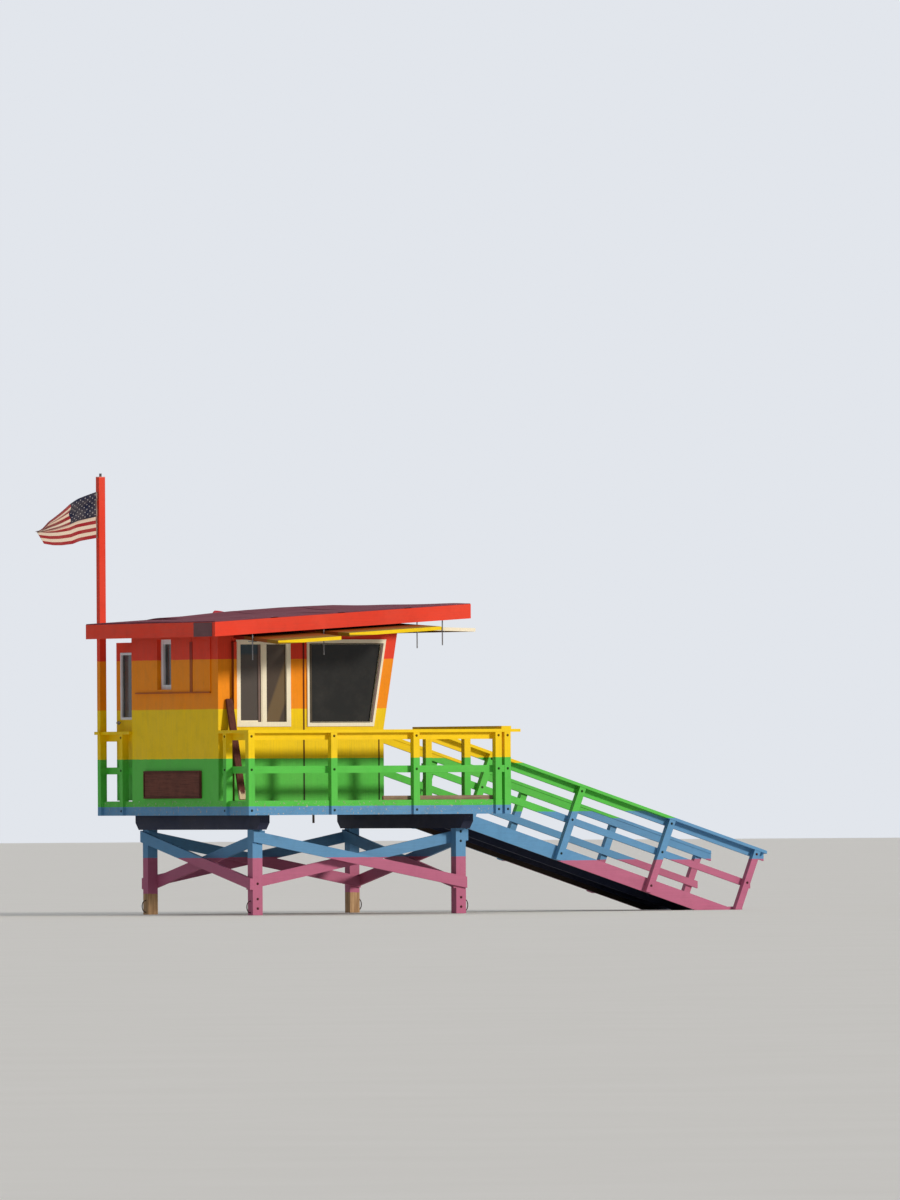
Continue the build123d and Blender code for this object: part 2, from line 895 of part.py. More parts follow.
def handle_side(face_x, way):
    """A lever handle on one face of the open leaf: a bar bent at a right angle, on a round rose."""
    _, _, _, y1, z0, _ = door_blank()
    y = y1 - handle_inset
    z = z0 + handle_height
    out = face_x + way * (handle_reach - handle_stem_radius)
    path = FilletPolyline((face_x, y, z), (out, y, z), (out, y - handle_lever_length, z), radius=handle_bend)
    section = Plane(origin=(face_x, y, z), z_dir=(way, 0, 0)) * Circle(handle_stem_radius)
    rose = Pos(face_x + way * handle_rose_depth / 2, y, z) * Rot(0, 90, 0)
    return rose * Cylinder(handle_rose_radius, handle_rose_depth) + sweep(section, path=path)


def hinge_heights():
    """Middles of the three hinges."""
    _, _, _, _, z0, z1 = door_blank()
    return z0 + hinge_inset, (z0 + z1) / 2, z1 - hinge_inset


def door_hardware():
    """Lever handles on both faces, and the knuckles and door plates of the hinges."""
    px, py = door_pin()
    x0, x1, y0, _, _, _ = door_blank()
    pieces = [handle_side(x0, -1), handle_side(x1, 1)]
    half = hinge_height / 2
    for z in hinge_heights():
        knuckle = Pos(px, py, z + (half + seat_gap) / 2) * Cylinder(hinge_radius, half - seat_gap)
        joined = block(x0 - hinge_plate, x0, py, py + hinge_plate_width, z + seat_gap, z + half)
        clear = py + hinge_radius + seat_gap
        below = block(x0 - hinge_plate, x0, clear, py + hinge_plate_width, z - half, z + seat_gap)
        pieces.append(knuckle + joined + below)
    return pieces


def jamb_plates():
    """The hinges' fixed plates on the left wall; the door's knuckles turn on top of theirs."""
    px, py = door_pin()
    x0 = px - hinge_plate_width
    y1 = cabin_left + hinge_plate
    half = hinge_height / 2
    plates = []
    for z in hinge_heights():
        knuckle = Pos(px, py, z - half / 2) * Cylinder(hinge_radius, half)
        joined = block(x0, px, cabin_left, y1, z - half, z)
        above = block(x0, px - hinge_radius - seat_gap, cabin_left, y1, z, z + half)
        plates.append(knuckle + joined + above)
    return plates


def flagpole():
    """The rear left corner post, which rises past the roof as the flagpole and ends in a knob."""
    y0 = deck_width - post_side
    above = block(0, post_side, y0, deck_width, deck_top, pole_top)
    lap_end = block(0, rim_out, y0, deck_width, rim_bottom, deck_top)
    lap_side = block(0, post_side, deck_width - rim_out, deck_width, rim_bottom, deck_top)
    knob = Pos(post_side / 2, deck_width - post_side / 2, pole_top + pole_knob_height / 2)
    knob = knob * Cylinder(pole_knob_radius, pole_knob_height)
    return [above + lap_end + lap_side + knob]


def flag():
    """The flag's hull in a light wind: full height at the pole, gathered and low at its free end."""
    y = deck_width - post_side / 2
    top = pole_top - flag_top_drop
    hoist = Pos(-seat_gap, y, top - flag_hoist / 2) * Rot(0, 90, 0)
    hoist = hoist * Rectangle(flag_hoist, flag_hoist_thickness)
    fly_z = top - flag_droop - flag_fly_height / 2
    fly = Pos(-flag_reach, y, fly_z) * Rot(0, 90, 0) * Rectangle(flag_fly_height, flag_fly_thickness)
    return [loft([hoist.face(), fly.face()])]


def stringer_outline():
    """One ramp stringer: plumb against the front rim, and flat on the sand as far as past the last post."""
    x0 = ramp_start - rim_out
    drop = stringer_depth / math.cos(math.radians(ramp_slope))
    nose = ramp_start + (deck_top - ramp_toe_height) / ramp_tan
    toe = max(last_ramp_post + ramp_toe_past, nose + ply)
    heel = ramp_start + (deck_top - drop) / ramp_tan
    return [
        (x0, ramp_line(x0) - drop),
        (heel, 0),
        (toe, 0),
        (toe, ramp_toe_height),
        (nose, ramp_toe_height),
        (ramp_start, deck_top),
        (x0, deck_top),
    ]


def ramp_inner_faces():
    """Inner faces of the ramp posts, right and left."""
    right = ramp_near_post + post_side / 2
    left = ramp_near_post + ramp_spread - post_side / 2
    return right, left


def both_ramp_sides(make):
    """A piece of the ramp's right side, made from two y planes, and the same piece on its left."""
    right, left = ramp_inner_faces()
    return [make(right, right + ply), make(left - ply, left)]


def ramp_stringers():
    """The ramp's two stringers."""
    outline = stringer_outline()
    return both_ramp_sides(lambda y0, y1: side_piece(outline, y0, y1))


def ramp_deck():
    """Boards across the ramp between the stringers, square to the slope, from the rim to the sand."""
    right, left = ramp_inner_faces()
    rad = math.radians(ramp_slope)
    along = (math.cos(rad), -math.sin(rad))
    down = (-math.sin(rad) * ply, -math.cos(rad) * ply)
    x0 = ramp_start - rim_out
    z0 = ramp_line(x0) - ramp_deck_drop
    first = ply * math.tan(rad)
    last = (z0 - ply * math.cos(rad)) / math.sin(rad)
    pitch = board_width + board_gap
    boards = []
    for i in range(int((last - first + board_gap) / pitch)):
        s0 = first + pitch * i
        a = (x0 + along[0] * s0, z0 + along[1] * s0)
        b = (a[0] + along[0] * board_width, a[1] + along[1] * board_width)
        outline = [a, b, (b[0] + down[0], b[1] + down[1]), (a[0] + down[0], a[1] + down[1])]
        boards.append(side_piece(outline, right + ply, left - ply))
    return boards


def ramp_strip(drop, depth, y0, y1):
    """A board on edge along the slope, from the rim to the sand, its top edge below the stringers'."""
    x0 = ramp_start - rim_out
    outline = [
        (x0, ramp_line(x0) - drop - depth),
        (ramp_start + (deck_top - drop - depth) / ramp_tan, 0),
        (ramp_start + (deck_top - drop) / ramp_tan, 0),
        (x0, ramp_line(x0) - drop),
    ]
    return side_piece(outline, y0, y1)


def ramp_bearers():
    """Ledgers on the stringers' inner faces and a spine between them, which carry the ramp's boards."""
    right, left = ramp_inner_faces()
    drop = ramp_deck_drop + ply / math.cos(math.radians(ramp_slope))
    middle = (right + left) / 2
    return [
        ramp_strip(drop, ledger_depth, right + ply, right + 2 * ply),
        ramp_strip(drop, ledger_depth, left - 2 * ply, left - ply),
        ramp_strip(drop, ramp_spine_depth, middle - ply / 2, middle + ply / 2),
    ]


def ramp_post_places():
    """How far past the front of the deck each pair of ramp posts stands, at the stringer's foot."""
    return [ramp_start + ramp_post_first + ramp_post_spacing * i for i in range(ramp_post_count)]


def ramp_post_outline(x):
    """A ramp post's outline: it leans down the ramp, from the stringer's lower edge to the cap."""
    drop = stringer_depth / math.cos(math.radians(ramp_slope))
    foot = max(0.0, ramp_line(x) - drop)
    half = post_side / 2 / math.cos(math.radians(ramp_post_lean))
    under = rail_height - ply / math.cos(math.radians(ramp_slope))

    def edge(offset_x, above, floor):
        """Where one edge of the post meets a line parallel to the ramp, or the floor level."""
        x0 = x + offset_x
        z = (ramp_line(x0, above) + foot * ramp_tan * post_tan) / (1 + ramp_tan * post_tan)
        z = max(floor, z)
        return x0 + (z - foot) * post_tan, z

    return [
        edge(-half, -drop, 0.0),
        edge(half, -drop, 0.0),
        edge(half, under, 0.0),
        edge(-half, under, 0.0),
    ]


def ramp_posts():
    """Leaning posts outside both stringers."""
    right, left = ramp_inner_faces()
    posts = []
    for x in ramp_post_places():
        outline = ramp_post_outline(x)
        posts.append(side_piece(outline, right - post_side, right))
        posts.append(side_piece(outline, left, left + post_side))
    return posts


def ramp_rails():
    """Top and mid rails on the inner faces of the ramp posts."""
    x0 = deck_depth - post_side
    tall = rail_depth / math.cos(math.radians(ramp_slope))
    under = rail_height - ply / math.cos(math.radians(ramp_slope))
    ends = (
        (under, last_ramp_post + ramp_rail_past),
        (mid_rail_height, last_ramp_post + ramp_mid_rail_past),
    )
    rails = []
    for above, x1 in ends:
        rails += both_ramp_sides(
            lambda y0, y1, a=above, x=x1: sloped_board(x0, x, lambda u: ramp_line(u, a), tall, y0, y1)
        )
    return rails


def ramp_caps():
    """Flat cap boards over the ramp posts and rails."""
    right, left = ramp_inner_faces()
    tall = ply / math.cos(math.radians(ramp_slope))
    x0, x1 = ramp_start, last_ramp_post + ramp_rail_past
    spans = (
        (right - post_side - cap_lip, right - post_side - cap_lip + cap_width),
        (left + post_side + cap_lip - cap_width, left + post_side + cap_lip),
    )
    return [sloped_board(x0, x1, lambda u: ramp_line(u, rail_height), tall, y0, y1) for y0, y1 in spans]


def loose_board():
    """A loose board that stands on the deck and leans on the right wall."""
    rad = math.radians(loose_board_lean)
    flat = block(0, rail_depth, -ply, 0, 0, loose_board_length)
    lift = ply * math.sin(rad)
    foot_y = cabin_right - loose_board_length * math.sin(rad)
    return [Pos(loose_board_start, foot_y, deck_top + lift) * Rot(-loose_board_lean, 0, 0) * flat]


NODES = [
    legs,
    beams,
    end_braces,
    side_braces,
    rim_ends,
    rim_sides,
    joists,
    deck_floor,
    deck_posts,
    rails_sides,
    rails_ends,
    caps_sides,
    caps_ends,
    rear_wall,
    right_wall_rear,
    right_wall_middle,
    right_wall_front,
    left_wall_jamb,
    left_wall_lintel,
    left_wall_front,
    front_wall_lower,
    front_wall_upper,
    window_frames_right,
    window_frames_front,
    window_frame_left,
    window_frame_rear,
    glass_right,
    glass_front,
    glass_left,
    glass_rear,
    rear_hatches,
    rear_ledge,
    roof_panel,
    fascia_ends,
    fascia_sides,
    rafters,
    shutters_right,
    shutter_left,
    shutter_front,
    shutter_rods,
    door_leaf,
    door_window_frame,
    door_glass,
    door_hardware,
    jamb_plates,
    flagpole,
    flag,
    ramp_stringers,
    ramp_deck,
    ramp_bearers,
    ramp_posts,
    ramp_rails,
    ramp_caps,
    loose_board,
]

made = {}
for maker in NODES:
    made[maker.__name__] = Compound([solid for piece in maker() for solid in piece.solids()])

box = Compound(list(made.values())).bounding_box()
to_origin = Pos(-(box.min.X + box.max.X) / 2, -(box.min.Y + box.max.Y) / 2, 0)

os.makedirs("parts", exist_ok=True)
for name, shape in made.items():
    export_step(to_origin * shape, f"parts/{name}.step")
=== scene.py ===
"""Looks of a beach lifeguard tower: paint in six bands of height on its timbers and plywood, a felted roof,
glazed sashes, a small flag on the corner pole, and the bolts, plates and trims that hold it together.

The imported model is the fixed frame, in metres with +Z up. Places are worked out from the rear right corner
of the deck, as the timbers are, and tower_point moves them into the model's frame.
"""

import math

import bpy
import numpy as np
from mathutils import Matrix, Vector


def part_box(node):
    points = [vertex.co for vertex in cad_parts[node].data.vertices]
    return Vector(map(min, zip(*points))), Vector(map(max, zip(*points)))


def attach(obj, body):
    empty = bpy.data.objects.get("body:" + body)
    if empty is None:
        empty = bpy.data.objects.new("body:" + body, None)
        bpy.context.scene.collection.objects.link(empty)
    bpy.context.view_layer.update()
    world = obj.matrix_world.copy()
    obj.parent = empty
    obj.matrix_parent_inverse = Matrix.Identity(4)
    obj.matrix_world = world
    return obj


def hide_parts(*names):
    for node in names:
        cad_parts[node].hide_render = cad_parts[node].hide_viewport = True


bl_info = {
    "name": "Lifeguard tower looks",
    "version": (1, 0, 0),
    "blender": (4, 5, 0),
    "location": "View3D > Sidebar > Tower",
    "description": "Paints a beach lifeguard tower and adds its flag, roofing, plaque, bolts and trims",
    "category": "Object",
}

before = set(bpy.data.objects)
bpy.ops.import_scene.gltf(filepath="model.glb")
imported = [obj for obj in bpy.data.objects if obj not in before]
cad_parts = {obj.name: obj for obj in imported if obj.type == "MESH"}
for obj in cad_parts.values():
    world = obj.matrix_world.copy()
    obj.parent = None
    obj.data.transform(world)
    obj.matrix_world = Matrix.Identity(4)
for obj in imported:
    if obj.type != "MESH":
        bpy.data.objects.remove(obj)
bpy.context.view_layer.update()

# The deck, its rails, the cabin, the roof and the ramp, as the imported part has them.
DECK_DEPTH = 3.760
DECK_WIDTH = 4.270
DECK_TOP = 1.455
RAIL_HEIGHT = 0.897
MID_RAIL = 0.437
RIM_BOARD = 0.038
POST = 0.089
STRINGER = 0.184
CABIN_RIGHT = 0.915
CABIN_LEFT = 3.355
CABIN_REAR = 0.038
BATTEN_REAR = 0.232
BATTEN_WIDTH = 0.048
SHUTTER_HINGE = 3.55
PAINT_TOP = 6.0
POLE_RIM = 5.626
POLE_TOP = 5.6365
ROOF_REAR = -0.310
ROOF_FRONT = 3.356
ROOF_RIGHT = 0.305
ROOF_LEFT = 3.965
ROOF_REAR_TOP = 3.725
ROOF_TAN = math.tan(math.radians(3.5))
RAMP_RIGHT = 2.2595
RAMP_LEFT = 3.7305
RAMP_ANGLE = math.radians(18.0)
RAMP_TAN = math.tan(RAMP_ANGLE)
RAMP_DECK_DROP = 0.0240
DECK_BOARD_STEP = 0.14452
RAMP_BOARD_STEP = 0.145
FIRST_RAMP_POST = 0.530
RAMP_POST_STEP = 1.315
LEAN_TAN = math.tan(math.radians(21.0))
FRONT_LEAN = math.radians(9.5)

# The deck's rear right corner in the model's frame.
SHIFT = np.array(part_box("rim_ends")[0]) * (1, 1, 0) - (RIM_BOARD, RIM_BOARD, 0)
CORNER_X, CORNER_Y = SHIFT[:2].tolist()

# The picture that the camera repeats: its size and its mark's place, in pixels, and the mark on the tower.
PICTURE_WIDTH = 900.0
PICTURE_HEIGHT = 1200.0
MARK_ACROSS = 299.18
MARK_DOWN = 786.77
MARK = (1.8, 2.1, 1.6291)
LENS_PIXELS = 18819.2
SENSOR = 36.0
DISTANCE = 241.15
VIEW_TURN = 0.4753
VIEW_ROLL = 0.0062

# Heights where purple, blue and green end on the ramp's timbers and on its caps.
RAMP_LEVELS = [0.65, 1.27, 1.98]
CAP_LEVELS = [0.65, 1.19, 1.90]


def srgb(red, green, blue):
    """The linear colour of an 8-bit display colour."""
    value = np.array([red, green, blue]) / 255.0
    return tuple(np.where(value <= 0.04045, value / 12.92, ((value + 0.055) / 1.055) ** 2.4).tolist())


def tower_point(x, y, z):
    """A place counted from the rear right corner of the deck, as a point in the model's frame."""
    return np.stack(np.broadcast_arrays(x, y, z), axis=-1).astype(float) + SHIFT


def roof_top(x):
    """Height of the roof's upper face at a distance from the rear of the deck."""
    return ROOF_REAR_TOP + (x - ROOF_REAR) * ROOF_TAN


def solid_boxes(node):
    """Lowest and highest corners of every separate solid of a node, counted from the deck's corner.
    Corners that share a place are one, and the lowest label spreads over each solid's triangles."""
    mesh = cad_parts[node].data
    points = np.empty(len(mesh.vertices) * 3, np.float32)
    mesh.vertices.foreach_get("co", points)
    points = points.reshape(-1, 3).astype(float)
    corners = np.empty(len(mesh.loops), np.int32)
    mesh.loops.foreach_get("vertex_index", corners)
    _, same = np.unique(np.round(points * 2e4).astype(np.int64), axis=0, return_inverse=True)
    faces = same.ravel()[corners].reshape(-1, 3)
    label = np.arange(same.max() + 1)
    while True:
        lowest = np.repeat(label[faces].min(axis=1), 3)
        spread = label.copy()
        np.minimum.at(spread, faces.ravel(), lowest)
        spread = spread[spread]
        if (spread == label).all():
            break
        label = spread
    owner = label[same.ravel()]
    lows = np.array([points[owner == k].min(axis=0) for k in np.unique(owner)]) - SHIFT
    highs = np.array([points[owner == k].max(axis=0) for k in np.unique(owner)]) - SHIFT
    return lows, highs


class TowerSizes(bpy.types.PropertyGroup):
    """Sizes of the pieces that dress the tower."""

    bolt_across: bpy.props.FloatProperty(
        name="Bolt washer", description="Diameter of the bolts' washers", default=0.033, unit="LENGTH"
    )
    bolt_height: bpy.props.FloatProperty(
        name="Bolt height", description="How far a bolt's head stands out", default=0.012, unit="LENGTH"
    )
    felt_thickness: bpy.props.FloatProperty(
        name="Roof felt", description="Thickness of the roof's felt sheets", default=0.006, unit="LENGTH"
    )
    felt_wave: bpy.props.FloatProperty(
        name="Felt waves", description="Height of the soft waves in the felt", default=0.012, unit="LENGTH"
    )
    flag_height: bpy.props.FloatProperty(
        name="Flag height", description="Height of the flag at the pole", default=0.600, unit="LENGTH"
    )
    flag_length: bpy.props.FloatProperty(
        name="Flag length", description="Length of the flag, laid flat", default=1.040, unit="LENGTH"
    )
    plaque_width: bpy.props.FloatProperty(
        name="Plaque width", description="Width of the bare plaque", default=1.60, unit="LENGTH"
    )
    plaque_height: bpy.props.FloatProperty(
        name="Plaque height", description="Height of the bare plaque", default=0.355, unit="LENGTH"
    )


class TowerColours(bpy.types.PropertyGroup):
    """Colours of the tower and the heights at which the paint changes."""

    red: bpy.props.FloatVectorProperty(
        name="Red", description="Paint above the windows' heads", subtype="COLOR", default=srgb(240, 64, 38)
    )
    orange: bpy.props.FloatVectorProperty(
        name="Orange", description="Paint beside the windows", subtype="COLOR", default=srgb(255, 150, 0)
    )
    yellow: bpy.props.FloatVectorProperty(
        name="Yellow", description="Paint from rails to sills", subtype="COLOR", default=srgb(255, 214, 0)
    )
    green: bpy.props.FloatVectorProperty(
        name="Green", description="Paint above the deck", subtype="COLOR", default=srgb(88, 200, 76)
    )
    blue: bpy.props.FloatVectorProperty(
        name="Blue", description="Paint of the rims and leg tops", subtype="COLOR", default=srgb(96, 152, 196)
    )
    purple: bpy.props.FloatVectorProperty(
        name="Purple", description="Paint of the legs", subtype="COLOR", default=srgb(190, 104, 136)
    )
    cream: bpy.props.FloatVectorProperty(
        name="Cream", description="Paint of the window frames", subtype="COLOR", default=srgb(255, 246, 218)
    )
    grey: bpy.props.FloatVectorProperty(
        name="Grey frames", description="Slit and door frames", subtype="COLOR", default=srgb(238, 242, 248)
    )
    felt: bpy.props.FloatVectorProperty(
        name="Roof felt", description="Felt of the roof", subtype="COLOR", default=srgb(118, 62, 74)
    )
    # Painted shade: the dark colour of the timbers under the deck.
    painted_under_deck_shade: bpy.props.FloatVectorProperty(
        name="Painted under-deck shade", description="Painted shade of the beams", subtype="COLOR", default=srgb(44, 52, 78)
    )
    plaque: bpy.props.FloatVectorProperty(
        name="Plaque", description="Stained board of the plaque", subtype="COLOR", default=srgb(112, 66, 54)
    )
    purple_top: bpy.props.FloatProperty(
        name="Purple up to", description="Height where purple ends", default=0.72, unit="LENGTH"
    )
    blue_top: bpy.props.FloatProperty(
        name="Blue up to", description="Height where blue ends", default=1.38, unit="LENGTH"
    )
    green_top: bpy.props.FloatProperty(
        name="Green up to", description="Height where green ends", default=1.99, unit="LENGTH"
    )
    yellow_top: bpy.props.FloatProperty(
        name="Yellow up to", description="Height where yellow ends", default=2.62, unit="LENGTH"
    )
    orange_top: bpy.props.FloatProperty(
        name="Orange up to", description="Height where orange ends", default=3.24, unit="LENGTH"
    )


def sizes():
    """The tower's sizes as the panel shows them."""
    return bpy.context.scene.tower_sizes


def colours():
    """The tower's colours as the panel shows them."""
    return bpy.context.scene.tower_colours


def new_piece(name, points, faces, smooth):
    """An object from points and faces, with a list that says of each face whether it is shaded smooth."""
    mesh = bpy.data.meshes.new(name)
    mesh.from_pydata(points.reshape(-1, 3).tolist(), [], faces)
    mesh.polygons.foreach_set("use_smooth", smooth)
    mesh.validate()
    mesh.update()
    piece = bpy.data.objects.new(name, mesh)
    bpy.context.scene.collection.objects.link(piece)
    return piece


def skin(name, grids, around=True, lids=True, smooth=False, uv=False):
    """One mesh from grids of points shaped (pieces, rows, columns, 3). Quads join each point with the next
    in its row and in its column. Rows close on themselves with around, and lids shut the first and last.
    With uv, a map runs from 0 to 1 along the rows and up the columns."""
    grids = np.asarray(grids, float)
    if grids.ndim == 3:
        grids = grids[None]
    pieces, rows, columns, _ = grids.shape
    index = np.arange(pieces * rows * columns).reshape(pieces, rows, columns)
    here = index if around else index[:, :, :-1]
    beside = np.roll(index, -1, axis=2) if around else index[:, :, 1:]
    quads = np.stack([here[:, :-1], beside[:, :-1], beside[:, 1:], here[:, 1:]], axis=-1).reshape(-1, 4)
    faces = quads.tolist()
    if lids:
        faces += index[:, 0, ::-1].tolist() + index[:, -1, :].tolist()
    piece = new_piece(name, grids, faces, [smooth] * len(faces))
    if uv:
        across, up = np.meshgrid(np.linspace(0, 1, columns), np.linspace(0, 1, rows))
        flat = np.stack([across, up], axis=-1).reshape(-1, 2)
        corners = np.empty(len(piece.data.loops), np.int32)
        piece.data.loops.foreach_get("vertex_index", corners)
        layer = piece.data.uv_layers.new(name="cloth")
        layer.data.foreach_set("uv", flat[corners].ravel())
    return piece


def plate(name, upper, lower):
    """A thin sheet between two grids of points: both faces and the rim between them, as one closed mesh."""
    rows, columns, _ = upper.shape
    count = rows * columns
    index = np.arange(count).reshape(rows, columns)
    a, b, c, d = index[:-1, :-1], index[:-1, 1:], index[1:, 1:], index[1:, :-1]
    top = np.stack([a, b, c, d], axis=-1).reshape(-1, 4)
    normal = np.cross(upper[0, 1] - upper[0, 0], upper[1, 0] - upper[0, 0])
    way = 1 if np.dot(normal, upper[0, 0] - lower[0, 0]) >= 0 else -1
    top = top[:, ::way]
    bottom = top[:, ::-1] + count
    ring = np.concatenate([index[0, :-1], index[:-1, -1], index[-1, :0:-1], index[:0:-1, 0]])
    follow = np.roll(ring, -1)
    side = np.stack([ring, ring + count, follow + count, follow], axis=-1)[:, ::way]
    points = np.concatenate([upper.reshape(-1, 3), lower.reshape(-1, 3)])
    faces = np.concatenate([top, bottom, side]).tolist()
    return new_piece(name, points, faces, [True] * len(top) * 2 + [False] * len(side))


def dress(piece, finish):
    """Gives a piece its material and the body it rides on."""
    piece.data.materials.append(finish)
    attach(piece, "tower")


def axes_of(direction, up=(0.0, 0.0, 1.0)):
    """Three square directions whose last is the given one: across, upright and along."""
    along = np.asarray(direction, float)
    along = along / np.linalg.norm(along)
    across = np.cross(up, along)
    if np.linalg.norm(across) < 1e-6:
        across = np.array([1.0, 0.0, 0.0])
    across = across / np.linalg.norm(across)
    return np.array([across, np.cross(along, across), along])


def blocks(centres, size, bevel=0.002, axes=None):
    """Squared pieces with every edge cut at 45 degrees: an eight-cornered outline, half the width and the
    depth less the bevel, is carried along the length and drawn in by the bevel at both ends."""
    centres = np.atleast_2d(centres)
    half = np.broadcast_to(np.asarray(size, float) / 2, centres.shape)[:, None, None, :]
    sign_x = np.array([1, 1, 1, -1, -1, -1, -1, 1.0])
    cut_x = np.array([0, 0, 1, 1, 0, 0, 1, 1.0])
    sign_y = np.array([-1, 1, 1, 1, 1, -1, -1, -1.0])
    cut_y = np.array([1, 1, 0, 0, 1, 1, 0, 0.0])
    drawn = np.array([1, 0, 0, 1.0])[:, None]
    x = sign_x * (half[..., 0] - bevel * cut_x - bevel * drawn)
    y = sign_y * (half[..., 1] - bevel * cut_y - bevel * drawn)
    z = np.array([-1, -1, 1, 1.0])[:, None] * half[..., 2] + bevel * np.array([0, 1, -1, 0.0])[:, None]
    local = np.stack(np.broadcast_arrays(x, y, z), axis=-1)
    turn = np.eye(3) if axes is None else np.asarray(axes, float)
    return np.einsum("prcl,lw->prcw", local, turn) + centres[:, None, None, :]


def lathed(places, direction, outline, sides=20):
    """Round pieces: an outline of (radius, height) turned about a direction at each place."""
    places = np.atleast_2d(places)
    outline = np.asarray(outline, float)
    angle = np.linspace(0, 2 * math.pi, sides, endpoint=False)
    radius = outline[:, 0][:, None]
    height = np.broadcast_to(outline[:, 1][:, None], (len(outline), sides))
    local = np.stack([radius * np.cos(angle), radius * np.sin(angle), height], axis=-1)
    return np.einsum("rcl,lw->rcw", local, axes_of(direction))[None] + places[:, None, None, :]


def tubes(path, radius, sides):
    """A round bar: a circle of the radius carried along the path, square to its direction at every point."""
    path = np.asarray(path, float)
    along = np.gradient(path, axis=0)
    along /= np.linalg.norm(along, axis=1, keepdims=True)
    side = np.cross(along, (0.31, 0.52, 0.80))
    side /= np.linalg.norm(side, axis=1, keepdims=True)
    third = np.cross(along, side)
    angle = np.linspace(0, 2 * math.pi, sides, endpoint=False)
    ring = np.cos(angle)[None, :, None] * side[:, None] + np.sin(angle)[None, :, None] * third[:, None]
    return (path[:, None] + radius * ring)[None]


def new_node(tree, kind, values=None, **settings):
    """A node with its settings, and its inputs joined to sockets or set to values."""
    node = tree.nodes.new(kind)
    for key, value in settings.items():
        setattr(node, key, value)
    for key, value in (values or {}).items():
        if isinstance(value, bpy.types.NodeSocket):
            tree.links.new(value, node.inputs[key])
        else:
            node.inputs[key].default_value = value
    return node


class Finish:
    """A material while it is being made: it adds nodes and joins their sockets."""

    def __init__(self, name):
        self.material = bpy.data.materials.new(name)
        self.material.use_nodes = True
        self.tree = self.material.node_tree
        self.tree.nodes.clear()
        self.place = self.node("ShaderNodeTexCoord").outputs["Object"]

    def node(self, kind, values=None, **settings):
        """A node of this material."""
        return new_node(self.tree, kind, values, **settings)

    def math(self, operation, a, b=0.0, c=0.0):
        """One step of arithmetic."""
        return self.node("ShaderNodeMath", {0: a, 1: b, 2: c}, operation=operation).outputs[0]

    def plus(self, a, b):
        """The sum of two values."""
        return self.math("ADD", a, b)

    def minus(self, a, b):
        """One value less another."""
        return self.math("SUBTRACT", a, b)

    def times(self, a, b):
        """One value multiplied by another."""
        return self.math("MULTIPLY", a, b)

    def above(self, value, level):
        """One where a value is over a level, and zero elsewhere."""
        return self.math("GREATER_THAN", value, level)

    def below(self, value, level):
        """One where a value is under a level, and zero elsewhere."""
        return self.math("LESS_THAN", value, level)

    def noise(self, scale, detail, roughness, vector=None):
        """Soft noise from 0 to 1 over the object's own coordinates."""
        values = {"Vector": vector or self.place, "Scale": scale, "Detail": detail, "Roughness": roughness}
        return self.node("ShaderNodeTexNoise", values).outputs["Fac"]

    def stretched(self, x, y, z):
        """The object's coordinates, scaled differently along its axes."""
        return self.node("ShaderNodeMapping", {"Vector": self.place, "Scale": (x, y, z)}).outputs["Vector"]

    def along(self, axis):
        """One of the object's coordinates."""
        return self.node("ShaderNodeSeparateXYZ", {"Vector": self.place}).outputs[axis]

    def height(self):
        """The object's upright coordinate."""
        return self.along("Z")

    def between(self, value, low, high, to_low=0.0, to_high=1.0):
        """The value's place between two levels, held within them."""
        values = {"Value": value, "From Min": low, "From Max": high, "To Min": to_low, "To Max": to_high}
        return self.node("ShaderNodeMapRange", values, clamp=True).outputs["Result"]

    def steps(self, factor, stops, interpolation="CONSTANT"):
        """A ramp of colours at the given places."""
        ramp = self.node("ShaderNodeValToRGB", {"Fac": factor})
        ramp.color_ramp.interpolation = interpolation
        elements = ramp.color_ramp.elements
        while len(elements) < len(stops):
            elements.new(1.0)
        for element, (place, colour) in zip(elements, stops):
            element.position = place
            element.color = (*colour, 1.0)
        return ramp.outputs["Color"]

    def mix(self, factor, a, b, kind="MIX"):
        """Two colours mixed by a factor."""
        node = self.node("ShaderNodeMix", data_type="RGBA", blend_type=kind)
        for key, value in ((0, factor), (6, a), (7, b)):
            if isinstance(value, bpy.types.NodeSocket):
                self.tree.links.new(value, node.inputs[key])
            else:
                node.inputs[key].default_value = value if key == 0 else (*value, 1.0)
        return node.outputs[2]

    def bump(self, height, depth, strength):
        """A relief of the given depth in metres."""
        values = {"Height": height, "Distance": depth, "Strength": strength}
        return self.node("ShaderNodeBump", values).outputs["Normal"]

    def surface(self, colour, roughness, normal=None, **values):
        """The shader and the material's output."""
        inputs = {"Base Color": colour, "Roughness": roughness, "Specular IOR Level": 0.14, **values}
        if not isinstance(colour, bpy.types.NodeSocket):
            inputs["Base Color"] = (*colour, 1.0)
        if normal is not None:
            inputs["Normal"] = normal
        shader = self.node("ShaderNodeBsdfPrincipled", inputs)
        self.node("ShaderNodeOutputMaterial", {"Surface": shader.outputs[0]})
        return self.material


def grain_scales(grain):
    """Noise scales for a grain that runs along one axis: low along it, high across it."""
    return tuple(2.2 if axis == grain else 70.0 for axis in "XYZ")


